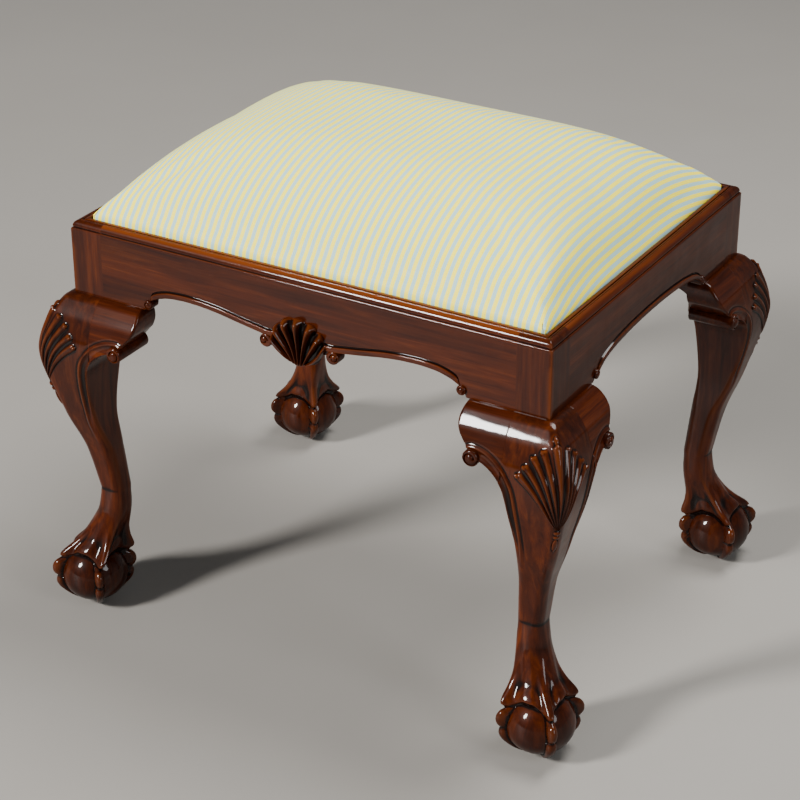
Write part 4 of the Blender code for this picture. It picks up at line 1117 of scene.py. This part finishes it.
def seat_grid(along_x, along_y):
    """Crown over a tensor grid of shares from -1 to 1, with its corners rounded."""
    x, y = np.meshgrid(SEAT_HALF_X * along_x, SEAT_HALF_Y * along_y, indexing="ij")
    straight_x, straight_y = SEAT_HALF_X - SEAT_CORNER_RADIUS, SEAT_HALF_Y - SEAT_CORNER_RADIUS
    out_x = np.maximum(np.abs(x) - straight_x, 0)
    out_y = np.maximum(np.abs(y) - straight_y, 0)
    reach = np.maximum(np.hypot(out_x, out_y), 1e-9)
    share = np.where((out_x > 0) & (out_y > 0), np.maximum(out_x, out_y) / reach, 1.0)
    x = np.sign(x) * (np.minimum(np.abs(x), straight_x) + out_x * share)
    y = np.sign(y) * (np.minimum(np.abs(y), straight_y) + out_y * share)
    return np.stack([x, y, crown_height(x, y)], 2)


def swelling(grid):
    """Way out of the cover at each point, from nothing at its edge to SEAT_PUFF a little way in."""
    normal = unit(np.cross(np.gradient(grid, axis=0), np.gradient(grid, axis=1)))
    return SEAT_PUFF * ramp(grid[:, :, 2] - RIM_TOP, 0.0, 0.022)[:, :, None] * normal


def puffed(slack, room):
    """Moves of the slack cover under the filling's pressure: a run of the cloth solver with its edge held."""
    nx, ny = slack.shape[:2]
    flat = slack.reshape(-1, 3)
    ring = border(nx, ny)
    below = nx * ny + np.arange(len(ring))
    points = cat(flat, flat[ring] * (1, 1, 0) + (0, 0, SEAT_BOTTOM), [(0, 0, SEAT_BOTTOM)])
    mesh = bpy.data.meshes.new("slack_cover")
    mesh.from_pydata(points.tolist(), [], sum([part.tolist() for part in cover_faces(nx, ny, ring, below)], []))
    cover = bpy.data.objects.new("slack_cover", mesh)
    scene = bpy.context.scene
    scene.collection.objects.link(cover)
    held = cover.vertex_groups.new(name="held")
    held.add(ring.tolist() + list(range(nx * ny, len(points))), 1.0, "REPLACE")
    solver = cover.modifiers.new("puff", "CLOTH")
    settings = solver.settings
    settings.quality = 6
    settings.mass = 0.3
    settings.tension_stiffness = settings.compression_stiffness = 15
    settings.shear_stiffness = 5
    settings.bending_stiffness = 0.5
    settings.use_pressure = True
    settings.uniform_pressure_force = 4.0
    settings.vertex_group_mass = "held"
    settings.effector_weights.gravity = 0.0
    solver.collision_settings.use_collision = False
    solver.point_cache.frame_start, solver.point_cache.frame_end = 1, SOLVER_STEPS
    for number in range(1, SOLVER_STEPS + 1):
        scene.frame_set(number)
    done = cover.evaluated_get(bpy.context.evaluated_depsgraph_get())
    place = read(done.data.vertices, "co", 3)
    scene.frame_set(1)
    bpy.data.objects.remove(cover)
    bpy.data.meshes.remove(mesh)
    move = place[: nx * ny].reshape(nx, ny, 3) - slack
    length = np.linalg.norm(move, axis=2, keepdims=True)
    move = move * np.minimum(1, room / np.maximum(length, 1e-9))
    for _ in range(2):
        for axis in (0, 1):
            move = 0.5 * move + 0.25 * (np.roll(move, 1, axis) + np.roll(move, -1, axis))
        move[[0, -1]] = 0
        move[:, [0, -1]] = 0
    return move


def read_between(table, at, axis):
    """Table read between its points along an axis by Catmull-Rom curves."""
    count = table.shape[axis]
    i = np.clip(np.floor(at).astype(int), 0, count - 2)
    shape = [1, 1, 1]
    shape[axis] = len(at)
    f = (at - i).reshape(shape)
    weights = (-f + 2 * f**2 - f**3, 2 - 5 * f**2 + 3 * f**3, f + 4 * f**2 - 3 * f**3, f**3 - f**2)
    return 0.5 * sum(w * np.take(table, np.clip(i + k, 0, count - 1), axis) for k, w in enumerate(weights, -1))


def seat_surface(nx, ny):
    """Crowned cover after the filling has pressed it out."""
    shares = edge_shares(nx), edge_shares(ny)
    full = seat_grid(*shares)
    coarse = seat_grid(*[np.linspace(-1, 1, count) for count in SOLVER_GRID])
    swell = swelling(coarse)
    move = puffed(coarse - swell, np.linalg.norm(swell, axis=2, keepdims=True) + SEAT_SLIP)
    for axis in (0, 1):
        move = read_between(move, (shares[axis] + 1) / 2 * (SOLVER_GRID[axis] - 1), axis)
    return full - swelling(full) + move


def pleated(grid):
    """Folds at the corners: the cloth swells beside the line of each fold, which the material darkens with painted
    shade.
    """
    x, y, z = np.moveaxis(grid, 2, 0)
    px = np.abs(x) - (SEAT_HALF_X - SEAT_CORNER_RADIUS)
    py = np.abs(y) - (SEAT_HALF_Y - SEAT_CORNER_RADIUS)
    reach = np.maximum(np.hypot(px, py), 1e-6)
    rise = z - RIM_TOP
    share = clamp(rise / PLEAT_HEIGHT)
    path = np.radians(45 + 38 * np.sin(0.85 * math.pi * share) - 35 * share**2)
    across = (np.arctan2(py, px) - path) * np.maximum(reach, 0.002)
    fade = ramp(px, -0.0004, 0.0006) * ramp(py, -0.0004, 0.0006)
    fade = fade * ramp(rise, -0.0005, 0.0008) * (1 - ramp(share, 0.6, 1.0))
    move = 0.0005 * bell((across + 0.0024) / 0.0022) * fade / reach
    folded = np.stack([x + np.sign(x) * px * move, y + np.sign(y) * py * move, z], 2)
    return folded, np.stack([1000 * np.clip(across, -0.005, 0.005), fade, 0 * fade], 2)


# Rings under the crown's edge, as (inset, level): down the side, turned under the boards, and up inside
COVER_RINGS = [(0, z) for z in (0.4485, 0.4450, 0.4410, 0.4382)]
COVER_RINGS += [(inset, SEAT_BOTTOM) for inset in (0.0006, 0.002, 0.010, 0.020, COVER_TURN_UNDER)]
COVER_RINGS += [(COVER_TURN_UNDER, SEAT_BOTTOM + 0.0007), (COVER_TURN_UNDER, SEAT_BOTTOM + 0.0010)]
COVER_RINGS += [(0.0012, SEAT_BOTTOM + 0.0011)]
INSIDE_TOP = 0.4555
INSIDE_MIDDLE = 0.457


def build_seat(material):
    nx, ny = SEAT_GRID
    smooth = seat_surface(nx, ny)
    folded, crease = pleated(smooth)
    flat = folded.reshape(-1, 3)
    ring = border(nx, ny)
    edge = flat[ring]
    count = len(ring)
    scale = np.array((SEAT_HALF_X, SEAT_HALF_Y))
    rows = [np.column_stack([edge[:, :2] * ((scale - inset) / scale), np.full(count, z)]) for inset, z in COVER_RINGS]
    rows.append(rows[-1] * (0.97, 0.97, 0) + (0, 0, INSIDE_TOP))
    points = cat(flat, *rows, [(0, 0, INSIDE_MIDDLE)])
    rings = [ring] + [len(flat) + k * count + np.arange(count) for k in range(len(rows))]
    shape = Shape().add(points, *cover_faces(nx, ny, *rings))
    seat = piece("seat_cushion", shape, material, "drop_in_seat", ["seat_cover", "foam_pad"], sharp=70)
    cloth = np.zeros_like(points)
    for axis in (0, 1):
        run = run_along(smooth, axis)
        cloth[: nx * ny, axis] = (run - np.take(run, [run.shape[axis] // 2], axis)).ravel()
    fall = run_along(np.array([edge, *rows]))[1:]
    on_x = np.abs(np.abs(edge[:, 0]) - SEAT_HALF_X) < np.abs(np.abs(edge[:, 1]) - SEAT_HALF_Y)
    outward = np.where(on_x[:, None], (1, 0, 0), (0, 1, 0)) * np.sign(edge)
    cloth[nx * ny : -1] = (cloth[ring] + fall[:, :, None] * outward).reshape(-1, 3)
    store(seat.data, "cloth", cloth)
    store(seat.data, "fold", cat(crease.reshape(-1, 3), np.zeros((len(points) - nx * ny, 3))))


DUST_HALF_X = 0.236
DUST_HALF_Y = 0.177
DUST_LEVEL = 0.4362
DUST_THICKNESS = 0.0006
DUST_GRID = 61, 47


def build_dust_cloth(material):
    nx, ny = DUST_GRID
    x, y = np.meshgrid(np.linspace(-1, 1, nx), np.linspace(-1, 1, ny), indexing="ij")
    sag = 0.0035 * (1 - np.abs(x) ** 2.5) * (1 - np.abs(y) ** 2.5)
    ripple = 0.0003 * np.sin(9 * x + 3 * y) * (1 - x**2) * (1 - y**2)
    low = np.stack([DUST_HALF_X * x, DUST_HALF_Y * y, DUST_LEVEL - sag + ripple], 2).reshape(-1, 3)
    quads = grid_quads(nx, ny, False)
    ring = border(nx, ny)
    points = cat(low, low + (0, 0, DUST_THICKNESS))
    shape = Shape().add(points, quads, quads[:, ::-1] + nx * ny, ring_quads(ring, ring + nx * ny))
    cloth = piece("dust_cloth", shape, material, "drop_in_seat", ["dust_cover"])


STAPLE_HALF = [(-0.0050, 0.0008), (-0.0050, 0.0003), (-0.0047, 0.00005), (-0.0042, 0.0)]
STAPLE_PATH = STAPLE_HALF + [(0.0, -0.00005)] + [(-u, z) for u, z in STAPLE_HALF[::-1]]
STAPLE_INSET = 0.006
STAPLE_LEVEL = 0.43585


def build_staples(material):
    """Wire staples round the dust cloth's edge, their legs in the cloth."""
    places = [(x, side * (DUST_HALF_Y - STAPLE_INSET), 0) for x in np.linspace(-0.222, 0.222, 14) for side in (-1, 1)]
    places += [(side * (DUST_HALF_X - STAPLE_INSET), y, 90) for y in np.linspace(-0.150, 0.150, 10) for side in (-1, 1)]
    angles = np.linspace(0, 2 * math.pi, 8, endpoint=False)
    across, rise = 0.0006 * np.cos(angles), 0.0003 * np.sin(angles)
    along = unit(np.gradient(np.array(STAPLE_PATH), axis=0))
    shape = Shape()
    for number, (x, y, turn) in enumerate(places):
        lean = math.radians(turn + 5 * math.sin(2.4 * number))
        c, s = math.cos(lean), math.sin(lean)
        rows = []
        for (u, z), (du, dz) in zip(STAPLE_PATH, along):
            run = u - dz * rise
            rows.append(columns(x + run * c - across * s, y + run * s + across * c, STAPLE_LEVEL + z + du * rise))
        shape.tube(rows)
    piece("dust_cloth_staples", shape, material, "drop_in_seat")


def dress_cad_nodes():
    """Finishes for the CAD nodes that are shown as they are."""
    finishes = {
        ("seat_frame_front", "seat_frame_back"): softwood("board_along_x", "X"),
        ("seat_frame_left", "seat_frame_right"): softwood("board_along_y", "Y"),
        "corner_block": softwood("corner_block_wood", "Z"),
        "corner_screw": screw_steel("zinc_screw"),
        "webbing": fabric("jute_webbing", (0.20, 0.13, 0.06), (0.55, 0.42, 0.25), 0.0016),
    }
    for name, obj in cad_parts.items():
        for starts, material in finishes.items():
            if name.startswith(starts):
                obj.data.materials.clear()
                obj.data.materials.append(material)


# Stage

FLOOR_REACH = 40.0
LIGHT_TARGET = (0, 0, 0.28)
VIEW_TARGET = Vector((-0.0114, -0.0046, 0.22))
VIEW_AZIMUTH = math.radians(30.63)
VIEW_ELEVATION = math.radians(28.01)
VIEW_DISTANCE = 2.510
VIEW_LENS = 104.72


def look(obj, place, way):
    """Puts a light or camera in its place, looking along a way, and links it."""
    obj.location = place
    obj.rotation_euler = way.to_track_quat("-Z", "Y").to_euler()
    bpy.context.scene.collection.objects.link(obj)


def area_light(name, place, size, power, colour):
    data = bpy.data.lights.new(name, "AREA")
    data.shape = "ELLIPSE"
    data.size, data.size_y = size
    data.energy = power
    data.color = colour
    look(bpy.data.objects.new(name, data), place, Vector(LIGHT_TARGET) - Vector(place))


def build_stage():
    mesh = bpy.data.meshes.new("floor")
    corners = [(FLOOR_REACH * x, FLOOR_REACH * y, 0) for x, y in ((-1, -1), (1, -1), (1, 1), (-1, 1))]
    mesh.from_pydata(corners, [], [(0, 1, 2, 3)])
    floor = bpy.data.objects.new("floor", mesh)
    bpy.context.scene.collection.objects.link(floor)
    made, tree, shader = new_material("floor_finish")
    tone = blend(noise(object_place(tree), 3.0, 3.0), (0.242, 0.228, 0.208), (0.269, 0.255, 0.234))
    finish(shader, Base_Color=tone, Roughness=0.55)
    mesh.materials.append(made)
    world = bpy.data.worlds.new("studio")
    bpy.context.scene.world = world
    world.use_nodes = True
    up = parts_of(node(world.node_tree, "TexCoord").outputs["Generated"])[2]
    back = world.node_tree.nodes["Background"]
    finish(back, Strength=spread(up, -0.05, 0.55, 0.36, 0.14), Color=(0.93, 0.94, 0.96, 1))
    area_light("key", (-2.68, -4.80, 3.50), (1.02, 1.70), 840, (1.0, 0.98, 0.96))
    area_light("top", (0.7, 0.9, 2.8), (1.6, 1.2), 95, (1.0, 0.99, 0.97))
    area_light("side", (2.6, -0.6, 1.5), (0.9, 1.2), 30, (0.97, 0.98, 1.0))
    eye = bpy.data.cameras.new("camera")
    eye.lens = VIEW_LENS
    eye.sensor_width = 36
    camera = bpy.data.objects.new("camera", eye)
    flat = math.cos(VIEW_ELEVATION)
    away = Vector((math.sin(VIEW_AZIMUTH) * flat, -math.cos(VIEW_AZIMUTH) * flat, math.sin(VIEW_ELEVATION)))
    look(camera, VIEW_TARGET + VIEW_DISTANCE * away, -away)
    bpy.context.scene.camera = camera


upright = mahogany("mahogany_upright", "Z", 0.70)
# The last number is the painted light on the rim's up-facing top, stronger on the front and back rails.
along_x = mahogany("mahogany_along_x", "X", 0.76, 0.42)
along_y = mahogany("mahogany_along_y", "Y", 0.76, 0.15)
carved = mahogany("mahogany_carved", "Z", 0.80)
build_legs(upright)
for side in RAILS:
    build_rail(side, along_x if side in LONG_RAILS else along_y)
for side in LONG_RAILS:
    build_shell(side, carved)
build_blocks(along_x, along_y)
build_seat(striped_satin("striped_satin"))
build_dust_cloth(fabric("black_cambric", (0.010, 0.010, 0.011), (0.030, 0.030, 0.032), 0.0009))
build_staples(screw_steel("staple_wire"))
dress_cad_nodes()
build_stage()
